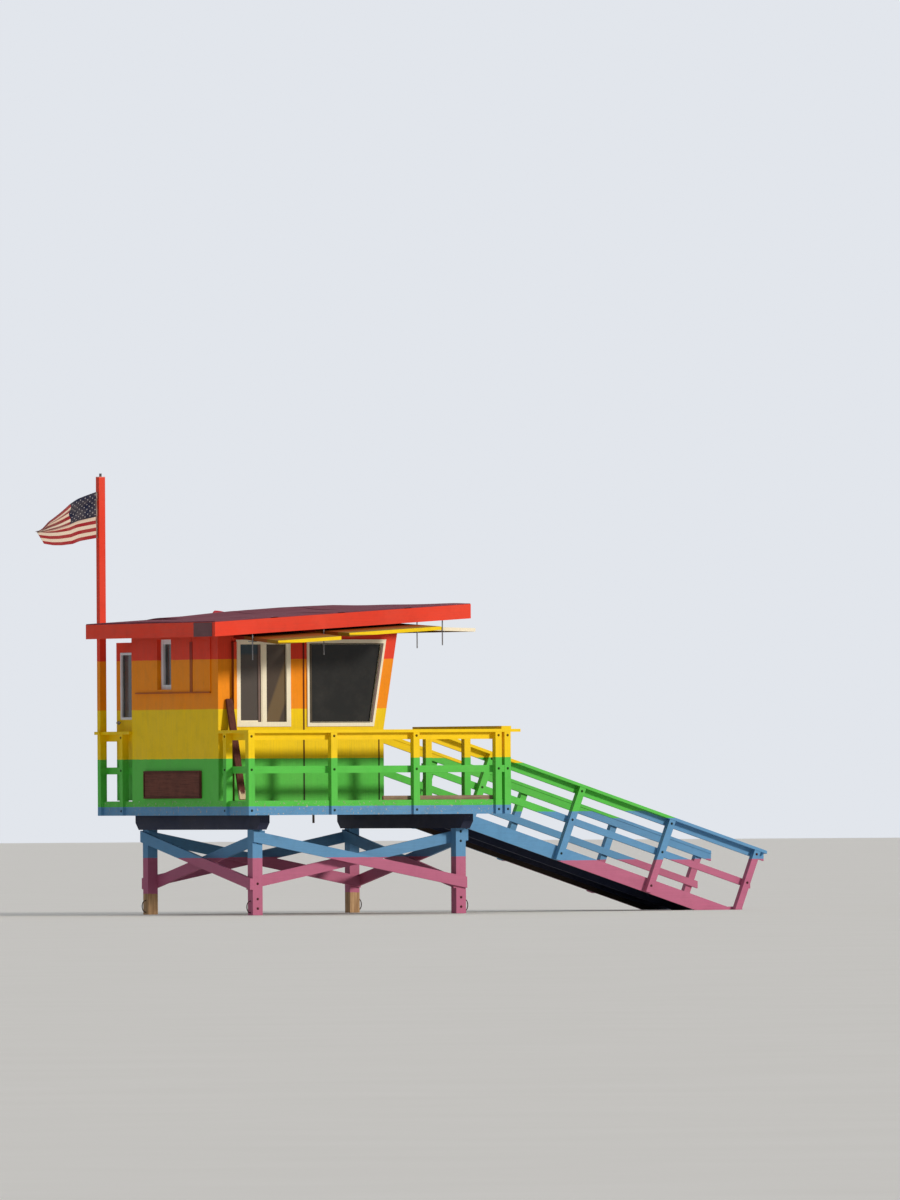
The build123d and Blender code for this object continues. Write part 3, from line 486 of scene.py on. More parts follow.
def weathered(finish, colour, grain, grime, peel=0.0):
    """Paint on sawn timber: patches of fading, streaks of grime along the grain, and chips that show grey
    undercoat. Returns the colour, the roughness and the relief."""
    fade = finish.noise(1.6, 4.0, 0.6)
    pale = finish.mix(finish.between(fade, 0.35, 0.75, 0.0, 0.035), colour, srgb(226, 204, 176))
    fibre = finish.noise(1.0, 5.0, 0.65, finish.stretched(*grain_scales(grain)))
    dark = finish.between(fibre, 0.30, 0.62, 1.0 - grime, 1.0)
    stain = finish.between(finish.noise(5.5, 5.0, 0.7), 0.28, 0.52, 1.0 - grime, 1.0)
    shade = finish.times(dark, stain)
    grey = finish.node("ShaderNodeCombineXYZ", {"X": shade, "Y": shade, "Z": shade}).outputs["Vector"]
    worn = finish.mix(1.0, pale, grey, "MULTIPLY")
    chips = finish.noise(30.0, 6.0, 0.72)
    mask = finish.between(chips, 0.70 - peel, 0.715 - peel)
    under = finish.mix(finish.between(fibre, 0.4, 0.6), srgb(196, 190, 178), srgb(140, 124, 106))
    worn = finish.mix(mask, worn, under)
    roughness = finish.between(fibre, 0.3, 0.7, 0.46, 0.66)
    relief = finish.minus(fibre, finish.times(mask, 0.8))
    return worn, roughness, finish.bump(relief, 0.0016, 0.5)


def band_colours(finish, height, levels):
    """The six paints by height, up to one that nothing reaches. The edges between them wander by a few
    millimetres."""
    c = colours()
    paints = [c.purple, c.blue, c.green, c.yellow, c.orange, c.red]
    wander = finish.math("MULTIPLY_ADD", finish.noise(9.0, 5.0, 0.7), 0.014, -0.007)
    share = finish.math("DIVIDE", finish.plus(height, wander), PAINT_TOP)
    stops = [(0.0, paints[0])] + [(level / PAINT_TOP, paint) for level, paint in zip(levels, paints[1:])]
    return finish.steps(share, [(place, tuple(colour)) for place, colour in stops])


def tower_levels():
    """Heights at which the tower's paint changes."""
    c = colours()
    return [c.purple_top, c.blue_top, c.green_top, c.yellow_top, c.orange_top]


def banded_paint(name, grain, levels, peel=0.0, grime=0.10, dim=None, patch=None):
    """Timber painted in bands of height. The paint is dimmed by a colour, and a patch puts another colour
    where its own factor says so."""
    finish = Finish(name)
    colour = band_colours(finish, finish.height(), levels)
    if dim:
        colour = finish.mix(1.0, colour, dim, "MULTIPLY")
    if patch:
        colour = patch(finish, colour)
    return finish.surface(*weathered(finish, colour, grain, grime, peel))


def bare_feet(finish, colour):
    """Leaves the feet of the left legs bare: tan grain below a wandering height, on the left half only."""
    fibre = finish.noise(1.0, 5.0, 0.65, finish.stretched(60.0, 60.0, 3.0))
    tan = finish.mix(finish.between(fibre, 0.35, 0.65), srgb(150, 112, 76), srgb(206, 168, 124))
    wander = finish.math("MULTIPLY_ADD", finish.noise(6.0, 4.0, 0.6), 0.05, 0.235)
    low = finish.below(finish.height(), wander)
    left = finish.above(finish.along("Y"), CORNER_Y + DECK_WIDTH / 2)
    return finish.mix(finish.times(low, left), colour, tan)


def painted_shade_under_ramp(finish, colour):
    """Painted shade: darkens the inner halves of the stringers, which face the space under the ramp."""
    middle = CORNER_Y + (RAMP_RIGHT + RAMP_LEFT) / 2
    away = finish.math("ABSOLUTE", finish.minus(finish.along("Y"), middle))
    inside = finish.below(away, (RAMP_LEFT - RAMP_RIGHT - RIM_BOARD) / 2)
    return finish.mix(inside, colour, srgb(58, 48, 42))


def shaded_side(finish, colour):
    """Paints shade on the batten's rear face and the edge beside it: a dark painted shade."""
    rear = finish.below(finish.along("X"), CORNER_X + BATTEN_REAR + 0.005)
    return finish.mix(finish.times(rear, 0.85), colour, srgb(78, 26, 12))


def steel_knob(finish, colour):
    """Leaves the pole's knob grey, over a worn pale edge."""
    edge = finish.above(finish.height(), POLE_RIM)
    colour = finish.mix(finish.times(edge, 0.45), colour, srgb(236, 196, 186))
    knob = finish.above(finish.height(), POLE_TOP)
    return finish.mix(knob, colour, srgb(96, 96, 98))


def plain_paint(name, colour, grain, grime=0.10):
    """Timber in one paint."""
    finish = Finish(name)
    return finish.surface(*weathered(finish, tuple(colour), grain, grime))


def shutter_paint(name, axis, hinge, way, reach, lips, pale_ends=None):
    """A shutter's paint: its bands run on from the wall's when it hangs closed, so they follow the distance
    from its hinge. Its faces are painted dim as far as its outer edge, a painted shade, and the batten below
    the lip is painted just as dim; the lip's height is given from each place along X on. The ends outside two
    places along the other axis are cream."""
    finish = Finish(name)
    distance = finish.times(finish.minus(finish.along(axis), hinge), way)
    closed = finish.minus(SHUTTER_HINGE, distance)
    colour = band_colours(finish, closed, tower_levels())
    # Painted shade: the shutter's faces are dimmed, and only the outer edge above the lip keeps the full
    # bands.
    dim = finish.mix(1.0, colour, (0.27, 0.21, 0.18), "MULTIPLY")
    lip = lips[0][1]
    for before, (start, height) in zip(lips, lips[1:]):
        beyond = finish.above(finish.along("X"), start)
        lip = finish.math("MULTIPLY_ADD", beyond, height - before[1], lip)
    edge = finish.above(distance, reach)
    edge = finish.times(edge, finish.above(finish.height(), lip))
    colour = finish.mix(edge, dim, colour)
    if pale_ends:
        place = finish.along("Y" if axis == "X" else "X")
        low = finish.below(place, pale_ends[0])
        high = finish.above(place, pale_ends[1])
        colour = finish.mix(finish.plus(low, high), colour, tuple(colours().cream))
    return finish.surface(*weathered(finish, colour, "Y", 0.12))


def boards_finish(name, pitch, start, slope=0.0, under=None):
    """Bare weathered boards that lie across the deck or the ramp: each board has its own tone, by its count
    down the slope. What lies below a plane that falls with the slope, given by its height where X is zero, is
    painted dark: a painted shade under the ramp."""
    finish = Finish(name)
    place = finish.along("X")
    if slope:
        drop = finish.times(finish.height(), -math.sin(slope))
        place = finish.plus(finish.times(place, math.cos(slope)), drop)
    count = finish.math("FLOOR", finish.math("DIVIDE", finish.minus(place, start), pitch))
    tone = finish.node("ShaderNodeTexWhiteNoise", {"W": count}, noise_dimensions="1D").outputs["Value"]
    tones = [(0.0, srgb(134, 112, 92)), (0.5, srgb(158, 136, 112)), (1.0, srgb(172, 152, 130))]
    colour = finish.steps(tone, tones, "LINEAR")
    fibre = finish.noise(1.0, 6.0, 0.7, finish.stretched(*grain_scales("Y")))
    lines = finish.steps(fibre, [(0.3, (0.48, 0.44, 0.40)), (0.62, (1.0, 1.0, 1.0))], "LINEAR")
    colour = finish.mix(0.9, colour, lines, "MULTIPLY")
    sand = finish.between(finish.noise(3.0, 6.0, 0.7), 0.50, 0.66, 0.0, 0.5)
    colour = finish.mix(sand, colour, srgb(196, 172, 138))
    if under is not None:
        # Painted shade: below the plane the boards are dark.
        fall = finish.times(finish.along("X"), math.tan(slope))
        below = finish.below(finish.plus(finish.height(), fall), under)
        colour = finish.mix(below, colour, srgb(52, 44, 38))
    return finish.surface(colour, 0.85, finish.bump(fibre, 0.002, 0.7))


def felt_finish():
    """Mineral felt: maroon with paler washes down the slope and a fine grit."""
    finish = Finish("Mineral roof felt")
    wash = finish.noise(1.0, 5.0, 0.6, finish.stretched(0.8, 5.0, 1.0))
    grit = finish.noise(240.0, 3.0, 0.7)
    base = tuple(colours().felt)
    pale = tuple(min(1.0, v * 1.7 + 0.02) for v in base)
    colour = finish.mix(finish.between(wash, 0.35, 0.75, 0.0, 0.75), base, pale)
    colour = finish.mix(finish.between(grit, 0.45, 0.65, 0.0, 0.35), colour, tuple(v * 0.45 for v in base))
    return finish.surface(colour, 0.9, finish.bump(grit, 0.0012, 0.8))


def glass_finish(name, colour, alpha):
    """Tinted glass with a film of salt that dulls it in patches."""
    finish = Finish(name)
    salt = finish.noise(2.4, 5.0, 0.7)
    tint = finish.mix(finish.between(salt, 0.45, 0.8, 0.0, 0.25), colour, srgb(128, 122, 112))
    roughness = finish.between(salt, 0.4, 0.8, 0.06, 0.22)
    return finish.surface(tint, roughness, Alpha=alpha, IOR=1.5, **{"Specular IOR Level": 0.4})


def side_glass():
    """The right wall's panes: nearly black in the big window, and in the two-light window a brown grey with a
    broad pale painted reflection that runs up and forwards, and a blue-grey painted shade under the left
    pane's head."""
    finish = Finish("Right panes")
    reflection_foot, reflection_low, reflection_rise = CORNER_X + 0.72, 2.55, 2.6
    slider_front, big_window = CORNER_X + 0.66, CORNER_X + 1.2
    x, z = finish.along("X"), finish.height()
    # Painted reflection: a pale band runs up and forwards over the two-light window's panes.
    fore = finish.minus(x, reflection_foot)
    run = finish.minus(finish.times(fore, reflection_rise), finish.minus(z, reflection_low))
    rise = finish.between(run, 0.00, 0.10)
    fall = finish.between(run, 0.55, 0.62, 1.0, 0.0)
    painted_reflection = finish.times(rise, fall)
    brown = finish.mix(painted_reflection, srgb(84, 72, 62), srgb(118, 98, 70))
    cool = finish.below(x, slider_front)
    brown = finish.mix(finish.times(cool, 0.6), brown, srgb(90, 86, 84))
    # Painted shade: the left pane turns blue-grey under its head.
    head = finish.times(cool, finish.between(z, 3.30, 3.34))
    brown = finish.mix(head, brown, srgb(60, 74, 82))
    front = finish.above(x, big_window)
    tint = finish.mix(front, brown, srgb(44, 44, 43))
    salt = finish.noise(2.4, 5.0, 0.7)
    tint = finish.mix(finish.between(salt, 0.45, 0.8, 0.0, 0.08), tint, srgb(128, 122, 112))
    roughness = finish.between(salt, 0.4, 0.8, 0.08, 0.24)
    values = {"Alpha": 0.97, "IOR": 1.5, "Specular IOR Level": 0.15}
    return finish.surface(tint, roughness, **values)


def metal_finish(name, colour, roughness):
    """Galvanised steel with dull patches and specks of rust."""
    finish = Finish(name)
    patch = finish.noise(60.0, 5.0, 0.7)
    tone = finish.mix(finish.between(patch, 0.35, 0.7), colour, tuple(v * 0.55 for v in colour))
    rust = finish.between(finish.noise(150.0, 5.0, 0.75), 0.56, 0.64)
    tone = finish.mix(rust, tone, srgb(112, 62, 38))
    rough = finish.between(patch, 0.3, 0.7, roughness, roughness + 0.22)
    return finish.surface(tone, rough, finish.bump(patch, 0.0006, 0.4), Metallic=0.75)


def timber_finish(name, colour, grain, foot=None):
    """Stained or bare timber with a strong grain. Below a ragged foot it is freshly split and pale."""
    finish = Finish(name)
    fibre = finish.noise(1.0, 6.0, 0.7, finish.stretched(*grain_scales(grain)))
    dark = tuple(v * 0.42 for v in colour)
    tone = finish.mix(finish.between(fibre, 0.32, 0.62), dark, tuple(colour))
    blotch = finish.between(finish.noise(7.0, 5.0, 0.65), 0.4, 0.7, 0.0, 0.35)
    tone = finish.mix(blotch, tone, tuple(min(1.0, v * 1.5) for v in colour))
    if foot:
        ragged = finish.math("MULTIPLY_ADD", fibre, 0.30, foot - 0.15)
        split = finish.below(finish.height(), ragged)
        tone = finish.mix(split, tone, srgb(214, 192, 156))
    return finish.surface(tone, 0.72, finish.bump(fibre, 0.0022, 0.7))


def flag_finish():
    """Flag cloth by its own UV: thirteen stripes, a dark blue canton over the upper seven with nine
    staggered rows of five-pointed stars, a canvas heading at the pole, and a fine weave. A point lies in a
    star when its distance from the star's middle, times the cosine of its angle to the nearest edge's
    normal, is small."""
    finish = Finish("Flag cloth")
    uv = finish.node("ShaderNodeUVMap", uv_map="cloth").outputs["UV"]
    split = finish.node("ShaderNodeSeparateXYZ", {"Vector": uv})
    along, up = split.outputs["X"], split.outputs["Y"]
    share, foot, star_size = 0.46, 6.0 / 13.0, 0.120
    stripe = finish.math("MODULO", finish.math("FLOOR", finish.times(up, 13.0)), 2.0)
    colour = finish.mix(stripe, srgb(158, 28, 38), srgb(226, 208, 186))
    column = finish.times(along, 12.0 / share)
    row = finish.times(finish.minus(up, foot), 10.0 * 13.0 / 7.0)
    near_column = finish.math("ROUND", column)
    near_row = finish.math("ROUND", row)
    odd = finish.math("MODULO", finish.plus(near_column, near_row), 2.0)
    x = finish.times(finish.minus(column, near_column), 1.17)
    y = finish.minus(row, near_row)
    x2 = finish.times(x, x)
    away = finish.math("SQRT", finish.math("MULTIPLY_ADD", y, y, x2))
    fold = finish.math("PINGPONG", finish.math("ARCTAN2", x, y), math.radians(36.0))
    lean = finish.math("COSINE", finish.minus(math.radians(72.0), fold))
    star = finish.below(finish.times(away, lean), star_size)
    star = finish.times(star, finish.minus(1.0, odd))
    inside = finish.times(finish.above(row, 0.4), finish.below(row, 9.6))
    edge = finish.times(finish.above(column, 0.6), finish.below(column, 11.6))
    star = finish.times(star, finish.times(inside, edge))
    # Painted shade: the stars are painted a light grey rather than white.
    canton = finish.mix(star, srgb(22, 27, 54), srgb(176, 172, 170))
    in_canton = finish.below(along, share)
    in_canton = finish.times(in_canton, finish.above(up, foot))
    colour = finish.mix(in_canton, colour, canton)
    colour = finish.mix(finish.below(along, 0.022), colour, srgb(206, 198, 182))
    wave = finish.node("ShaderNodeMapping", {"Vector": uv, "Scale": (1.0, 0.58, 1.0)}).outputs["Vector"]
    weave = finish.noise(900.0, 2.0, 0.5, wave)
    worn = finish.between(finish.noise(5.0, 4.0, 0.6, uv), 0.4, 0.75, 0.0, 0.16)
    colour = finish.mix(worn, colour, srgb(206, 188, 170))
    values = {"Sheen Weight": 0.25, "Sheen Roughness": 0.5}
    return finish.surface(colour, 0.82, finish.bump(weave, 0.0004, 0.5), **values)


PAINTED = {
    "Z": [
        "deck_posts",
        "rear_wall",
        "right_wall_rear",
        "right_wall_middle",
        "right_wall_front",
        "left_wall_jamb",
        "left_wall_lintel",
        "left_wall_front",
        "front_wall_lower",
        "front_wall_upper",
        "rear_hatches",
        "door_leaf",
    ],
    "X": ["side_braces", "rails_sides", "caps_sides", "fascia_sides"],
    "Y": ["end_braces", "rails_ends", "caps_ends", "fascia_ends"],
}


def coat(finish, *nodes):
    """Puts a material in every slot of some nodes of the frame."""
    for node in nodes:
        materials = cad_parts[node].data.materials
        for place in range(len(materials)):
            materials[place] = finish
        if not len(materials):
            materials.append(finish)


class TOWER_OT_paint(bpy.types.Operator):
    """Paint every timber, panel, pane and plate of the tower"""

    bl_idname = "tower.paint"
    bl_label = "Paint the tower"

    def execute(self, context):
        levels = tower_levels()
        for grain, nodes in PAINTED.items():
            coat(banded_paint("Banded paint along " + grain, grain, levels), *nodes)
        coat(banded_paint("Leg paint", "Z", levels, patch=bare_feet), "legs")
        coat(banded_paint("Pole paint", "Z", levels, patch=steel_knob), "flagpole")
        coat(banded_paint("Ledge paint", "Y", levels, grime=0.2, dim=(0.50, 0.38, 0.34)), "rear_ledge")
        coat(banded_paint("Peeling rim paint", "X", levels, peel=0.105, grime=0.16), "rim_sides", "rim_ends")
        self.ramp()
        self.one_paint()
        self.boards()
        self.shutters()
        self.glass_and_steel()
        return {"FINISHED"}

    def ramp(self):
        """The ramp's timbers, whose bands change at heights of their own below the rails."""
        upper = tower_levels()[-2:]
        ramp_levels = RAMP_LEVELS + upper
        coat(banded_paint("Banded ramp paint", "X", ramp_levels), "ramp_rails", "ramp_posts")
        coat(banded_paint("Ramp cap paint", "X", CAP_LEVELS + upper), "ramp_caps")
        # The stringers carry painted shade on their inner halves.
        coat(banded_paint("Stringer paint", "X", ramp_levels, patch=painted_shade_under_ramp), "ramp_stringers")

    def one_paint(self):
        """The timbers that are one colour all over: under the deck, under the roof and round the panes. Those
        under the deck are painted dark, a painted shade.
        """
        c = colours()
        # Painted shade: the beams, joists and bearers under the deck are painted dark blue-black.
        coat(plain_paint("Painted under-deck shade", c.painted_under_deck_shade, "Y", 0.25), "beams", "joists", "ramp_bearers")
        coat(plain_paint("Rafter paint", srgb(150, 52, 36), "X", 0.2), "rafters")
        coat(plain_paint("Roof boards", srgb(126, 62, 48), "X", 0.2), "roof_panel")
        frames = plain_paint("Cream frame paint", c.cream, "Z", 0.08)
        coat(frames, "window_frames_right", "window_frames_front", "window_frame_left")
        greyed = plain_paint("Grey frame paint", c.grey, "Z", 0.14)
        coat(greyed, "window_frame_rear", "door_window_frame")

    def boards(self):
        """The bare boards of the deck and the ramp, and the dark board that leans on the cabin."""
        coat(boards_finish("Bare deck boards", DECK_BOARD_STEP, CORNER_X + 2 * RIM_BOARD), "deck_floor")
        # The plane below which the ramp boards carry painted shade.
        under = DECK_TOP + (DECK_DEPTH + CORNER_X) * RAMP_TAN - RAMP_DECK_DROP - 0.022
        coat(boards_finish("Bare ramp boards", RAMP_BOARD_STEP, CORNER_X, RAMP_ANGLE, under), "ramp_deck")
        coat(timber_finish("Dark loose board", srgb(100, 56, 46), "Z", DECK_TOP + 0.10), "loose_board")

    def shutters(self):
        """The shutters, each from its hinge outwards. The full bands show on the last 12 mm of the reach,
        above a lip that lies 22 mm over a side shutter's lowest point and 12 mm over the front one's; the
        rest is painted dim, a painted shade on the faces."""
        edge, side_lip, front_lip = 0.012, 0.022, 0.012
        right, left = CORNER_Y + CABIN_RIGHT, CORNER_Y + CABIN_LEFT
        lows, _ = solid_boxes("shutters_right")
        lips = [(low[0] + CORNER_X - 0.01, low[2] + side_lip) for low in lows[np.argsort(lows[:, 0])]]
        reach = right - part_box("shutters_right")[0].y - edge
        coat(shutter_paint("Right shutter paint", "Y", right, -1.0, reach, lips), "shutters_right")
        low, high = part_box("shutter_left")
        lips = [(low.x, low.z + side_lip)]
        reach = high.y - left - edge
        coat(shutter_paint("Left shutter paint", "Y", left, 1.0, reach, lips), "shutter_left")
        low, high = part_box("shutter_front")
        lips = [(low.x, low.z + front_lip)]
        reach = high.x - low.x - edge
        ends = (low.y + 0.01, high.y - 0.01)
        coat(shutter_paint("Front shutter paint", "X", low.x, 1.0, reach, lips, ends), "shutter_front")

    def glass_and_steel(self):
        """The panes, and the plates, rods and hinges."""
        coat(side_glass(), "glass_right")
        for node in ("glass_front", "glass_left", "glass_rear", "door_glass"):
            coat(glass_finish("Grey glass of " + node, srgb(58, 60, 62), 0.86), node)
        steel = metal_finish("Galvanised steel", srgb(140, 142, 144), 0.38)
        coat(steel, "shutter_rods", "door_hardware", "jamb_plates")


class TOWER_OT_roofing(bpy.types.Operator):
    """Lay the roof's felt sheets and the patch of flashing at its far edge"""

    bl_idname = "tower.roofing"
    bl_label = "Lay the roof felt"

    def execute(self, context):
        felt = felt_finish()
        edges = [ROOF_REAR + 0.004, 0.49, 1.45, 2.40, ROOF_FRONT - 0.004]
        for number in range(len(edges) - 1):
            above = len(edges) - 2 - number
            dress(self.sheet(number, above, edges[number], edges[number + 1]), felt)
        dress(self.flashing(), plain_paint("Flashing paint", srgb(190, 46, 62), "X"))
        return {"FINISHED"}

    def sheet(self, number, above, x0, x1):
        """One felt sheet from eave to eave: the roof's plane plus two crossing sine waves and a swelling,
        bell shaped across the roof, that fade out at the eaves. Each sheet but the last laps the next one up
        the slope by 0.10 m, and lies higher by a share of its thickness for every sheet above it."""
        s = sizes()
        lap = 0.10 if above else 0.0
        x = np.linspace(x0, x1 + lap, 24)
        y = np.linspace(ROOF_RIGHT + 0.004, ROOF_LEFT - 0.004, 60)
        across, along = np.meshgrid(y, x)
        edge = np.minimum(across - y[0], y[-1] - across)
        calm = 1 - np.exp(-((edge / 0.25) ** 2))
        waves = np.sin(2.1 * across + 1.7 * along + number) * np.sin(1.3 * along - 0.8 * across)
        step = s.felt_thickness * (1.0 + above * 0.35)
        places = [0.48, 0.85, 1.20, 1.70, 2.20, 2.95, ROOF_FRONT]
        swell = np.interp(along, places, [0.022, 0.018, 0.030, 0.044, 0.048, 0.030, 0.0]) * (number > 0)
        swell = swell * np.exp(-(((across - 3.40) / 0.42) ** 2))
        lift = calm * (0.5 * s.felt_wave * (1 + waves) + swell) + step * 0.3
        lower = tower_point(along, across, roof_top(along) + 0.0008)
        upper = lower + (0, 0, 1) * (lift + s.felt_thickness)[..., None]
        return plate("roof_felt_" + str(number + 1), upper, lower)

    def flashing(self):
        """A patch turned up at the far edge: steep at its rear end, its height then falls away as one less a
        power of the way along."""
        t = np.linspace(0, 1, 16)
        high = 0.064 * np.minimum(1.0, 6.0 * t) * (1 - t**2.2)
        x = 1.49 + 0.27 * t
        base = roof_top(x) + 0.004
        near = tower_point(x, ROOF_LEFT - 0.030, base)
        far = tower_point(x, ROOF_LEFT - 0.004, base)
        top_near = tower_point(x, ROOF_LEFT - 0.024, base + high + 0.004)
        top_far = tower_point(x, ROOF_LEFT - 0.010, base + high + 0.004)
        return skin("roof_flashing", np.stack([far, top_far, top_near, near], axis=1))


class TOWER_OT_flag(bpy.types.Operator):
    """Hang the flag on the corner pole in a light wind"""

    bl_idname = "tower.flag"
    bl_label = "Hang the flag"

    def execute(self, context):
        cloth = self.cloth()
        dress(cloth, flag_finish())
        thick = cloth.modifiers.new("Cloth thickness", "SOLIDIFY")
        thick.thickness = 0.0016
        thick.offset = 0.0
        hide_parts("flag")
        dress(self.clips(), metal_finish("Flag clip steel", srgb(150, 150, 150), 0.35))
        return {"FINISHED"}

    def cloth(self):
        """The cloth on a grid of u along the flag and t up the pole. The lower four stripes keep their height
        while the rest draws together towards the free end, and what it loses in height goes into two waves
        across the cloth: their depth is looked up so that the length up the cloth stays as cut."""
        height = sizes().flag_height
        u = np.linspace(0, 1, 121)
        t = np.linspace(0, 1, 106)
        places = [0.0, 0.31, 0.46, 0.70, 0.85, 0.95, 1.0]
        top = self.eased(np.interp(u, places, [5.446, 5.350, 5.284, 5.150, 5.060, 4.958, 4.925]))
        low = self.eased(np.interp(u, places, [4.848, 4.806, 4.770, 4.752, 4.752, 4.765, 4.772]))
        share = 4.0 / 13.0
        firm = height * share * (1 - 0.16 * u)
        soft = np.maximum(top - low - firm, 0.014)
        turns = 2 * math.pi * 2.0
        depths = np.linspace(0, 0.09, 91)
        phase = np.linspace(0, 1, 401)
        slope = turns * depths[None, :, None] * np.cos(turns * phase)[None, None, :]
        lengths = np.sqrt(soft[:, None, None] ** 2 + slope**2).mean(axis=2)
        depth = np.array([np.interp(height * (1 - share), row, depths) for row in lengths])
        lower_part = np.minimum(t / share, 1.0)[:, None]
        upper_part = np.maximum((t - share) / (1 - share), 0.0)[:, None]
        z = low[None] + lower_part * firm[None] + upper_part * soft[None]
        folds = depth[None] * np.sin(turns * upper_part)
        drift = 0.030 * np.sin(2 * math.pi * 1.1 * u)[None] * (0.35 + 0.65 * lower_part) * u[None]
        lean = 0.030 * u[None] * (1 - lower_part)
        y = DECK_WIDTH - POST / 2 + folds + drift - lean
        reach = 0.868 - 0.085 * (1 - lower_part) - 0.02 * upper_part
        ease = u[None] + 0.022 * np.sin(2 * math.pi * u[None])
        x = -0.0006 - reach * ease
        return skin("flag_cloth", tower_point(x, y, z), around=False, lids=False, smooth=True, uv=True)

    def eased(self, heights):
        """Heights along an edge with their corners rounded: each is a weighted mean of the seven about it."""
        weights = np.array([1, 2, 3, 4, 3, 2, 1.0]) / 16.0
        return np.convolve(np.pad(heights, 3, mode="edge"), weights, mode="valid")

    def clips(self):
        """Two small rings that hold the heading to the pole: a circle carried round a flattened circle."""
        turn = np.linspace(0, 2 * math.pi, 25)
        rings = []
        for height in (5.40, 4.89):
            x = -0.004 + 0.013 * np.cos(turn)
            z = height + 0.016 * np.sin(turn)
            rings.append(tubes(tower_point(x, DECK_WIDTH - POST / 2, z), radius=0.0025, sides=8))
        return skin("flag_clips", np.concatenate(rings), smooth=True)


class TOWER_OT_plaque(bpy.types.Operator):
    """Fix the bare plaque to the rear wall"""

    bl_idname = "tower.plaque"
    bl_label = "Fix the plaque"

    def execute(self, context):
        s = sizes()
        finish = timber_finish("Plaque board", tuple(colours().plaque), "Y")
        y, z = 2.18, 1.665
        size = (0.025, s.plaque_width, s.plaque_height)
        board = blocks(tower_point(CABIN_REAR - 0.0125, y, z), size, 0.006)
        dress(skin("plaque_board", board), finish)
        ends = np.array([-1, 1])
        rim_x = CABIN_REAR - 0.029
        rails = tower_point(rim_x, y, z + ends * (s.plaque_height / 2 - 0.014))
        stiles = tower_point(rim_x, y + ends * (s.plaque_width / 2 - 0.014), z)
        across = blocks(rails, (0.012, s.plaque_width - 0.004, 0.026), 0.004)
        upright = blocks(stiles, (0.012, 0.026, s.plaque_height - 0.056), 0.004)
        dark = timber_finish("Plaque rim", srgb(92, 50, 40), "Y")
        dress(skin("plaque_rim", np.concatenate([across, upright])), dark)
        return {"FINISHED"}


def bolt_outline():
    """A washer with a domed bolt head on it, as radius and height."""
    s = sizes()
    r, h = s.bolt_across / 2, s.bolt_height
    washer = [(r, 0.0), (r, 0.2 * h)]
    return washer + [(0.56 * r, 0.22 * h), (0.54 * r, 0.7 * h), (0.36 * r, 0.95 * h), (0.08 * r, h)]


class TOWER_OT_bolts(bpy.types.Operator):
    """Put the bolts in the posts, the legs and the ramp's posts"""

    bl_idname = "tower.bolts"
    bl_label = "Put in the bolts"

    def execute(self, context):
        dim = (0.20, 0.17, 0.12)
        steel = banded_paint("Painted bolts", "Z", tower_levels(), peel=0.02, grime=0.3, dim=dim)
        dress(skin("post_bolts", self.posts(), smooth=True), steel)
        dress(skin("leg_bolts", self.legs(), smooth=True), steel)
        dress(skin("ramp_bolts", self.ramp(), smooth=True), steel)
        return {"FINISHED"}

    def row(self, places, face, heights, way, along_x=True):
        """Bolts at every pairing of places along a side with heights, on one face and turned one way."""
        along, up = np.meshgrid(places, heights)
        if along_x:
            points = tower_point(along.ravel(), face, up.ravel())
        else:
            points = tower_point(face, along.ravel(), up.ravel())
        return lathed(points, way, bolt_outline())

    def posts(self):
        """Three bolts in the outer face of every deck post: through its two rails and the rim."""
        heights = [DECK_TOP + RAIL_HEIGHT - 0.080, DECK_TOP + MID_RAIL - 0.044, DECK_TOP - 0.125]
        lows, highs = solid_boxes("deck_posts")
        middle = (lows + highs) / 2
        right = middle[lows[:, 1] < 0.01]
        left = middle[highs[:, 1] > DECK_WIDTH - 0.01]
        between = (lows[:, 1] > 0.2) & (highs[:, 1] < DECK_WIDTH - 0.2)
        front = middle[(highs[:, 0] > DECK_DEPTH - 0.01) & between]
        rear = middle[(lows[:, 0] < 0.01) & between]
        rows = [
            self.row(right[:, 0], 0.0, heights, (0, -1, 0)),
            self.row(left[:, 0], DECK_WIDTH, heights, (0, 1, 0)),
            self.row(front[:, 1], DECK_DEPTH, heights, (1, 0, 0), False),
            self.row(rear[:, 1], 0.0, heights, (-1, 0, 0), False),
        ]
        return np.concatenate(rows)

    def legs(self):
        """Five bolts in the outer face of each leg, through the braces and the loops."""
        heights = [1.045, 0.925, 0.40, 0.205, 0.085]
        low, high = solid_boxes("legs")
        rows = []
        for side, way in ((low[:, 1], -1), (high[:, 1], 1)):
            outer = side[np.argmin(side * -way)]
            chosen = np.isclose(side, outer, atol=0.01)
            x = (low[chosen, 0] + high[chosen, 0]) / 2
            rows.append(self.row(x, outer, heights, (0, way, 0)))
        return np.concatenate(rows)

    def ramp(self):
        """Bolts where each leaning ramp post crosses its rails and the stringer: the crossing of the post's
        middle line with a line parallel to the ramp."""
        slope = math.cos(RAMP_ANGLE)
        foot_x = DECK_DEPTH + FIRST_RAMP_POST + RAMP_POST_STEP * np.arange(4)
        foot = np.maximum(0.0, DECK_TOP - (foot_x - DECK_DEPTH) * RAMP_TAN - STRINGER / slope)
        above = np.array([RAIL_HEIGHT - 0.088 / slope, MID_RAIL - 0.044 / slope, -0.092 / slope])
        x0, up = np.meshgrid(foot_x, above)
        base = np.broadcast_to(foot, x0.shape)
        z = (DECK_TOP + up - (x0 - DECK_DEPTH - base * LEAN_TAN) * RAMP_TAN) / (1 + LEAN_TAN * RAMP_TAN)
        x = x0 + (z - base) * LEAN_TAN
        keep = z.ravel() > 0.03
        x, z = x.ravel()[keep], z.ravel()[keep]
        right = lathed(tower_point(x, RAMP_RIGHT - POST, z), (0, -1, 0), bolt_outline())
        left = lathed(tower_point(x, RAMP_LEFT + POST, z), (0, 1, 0), bolt_outline())
        return np.concatenate([right, left])


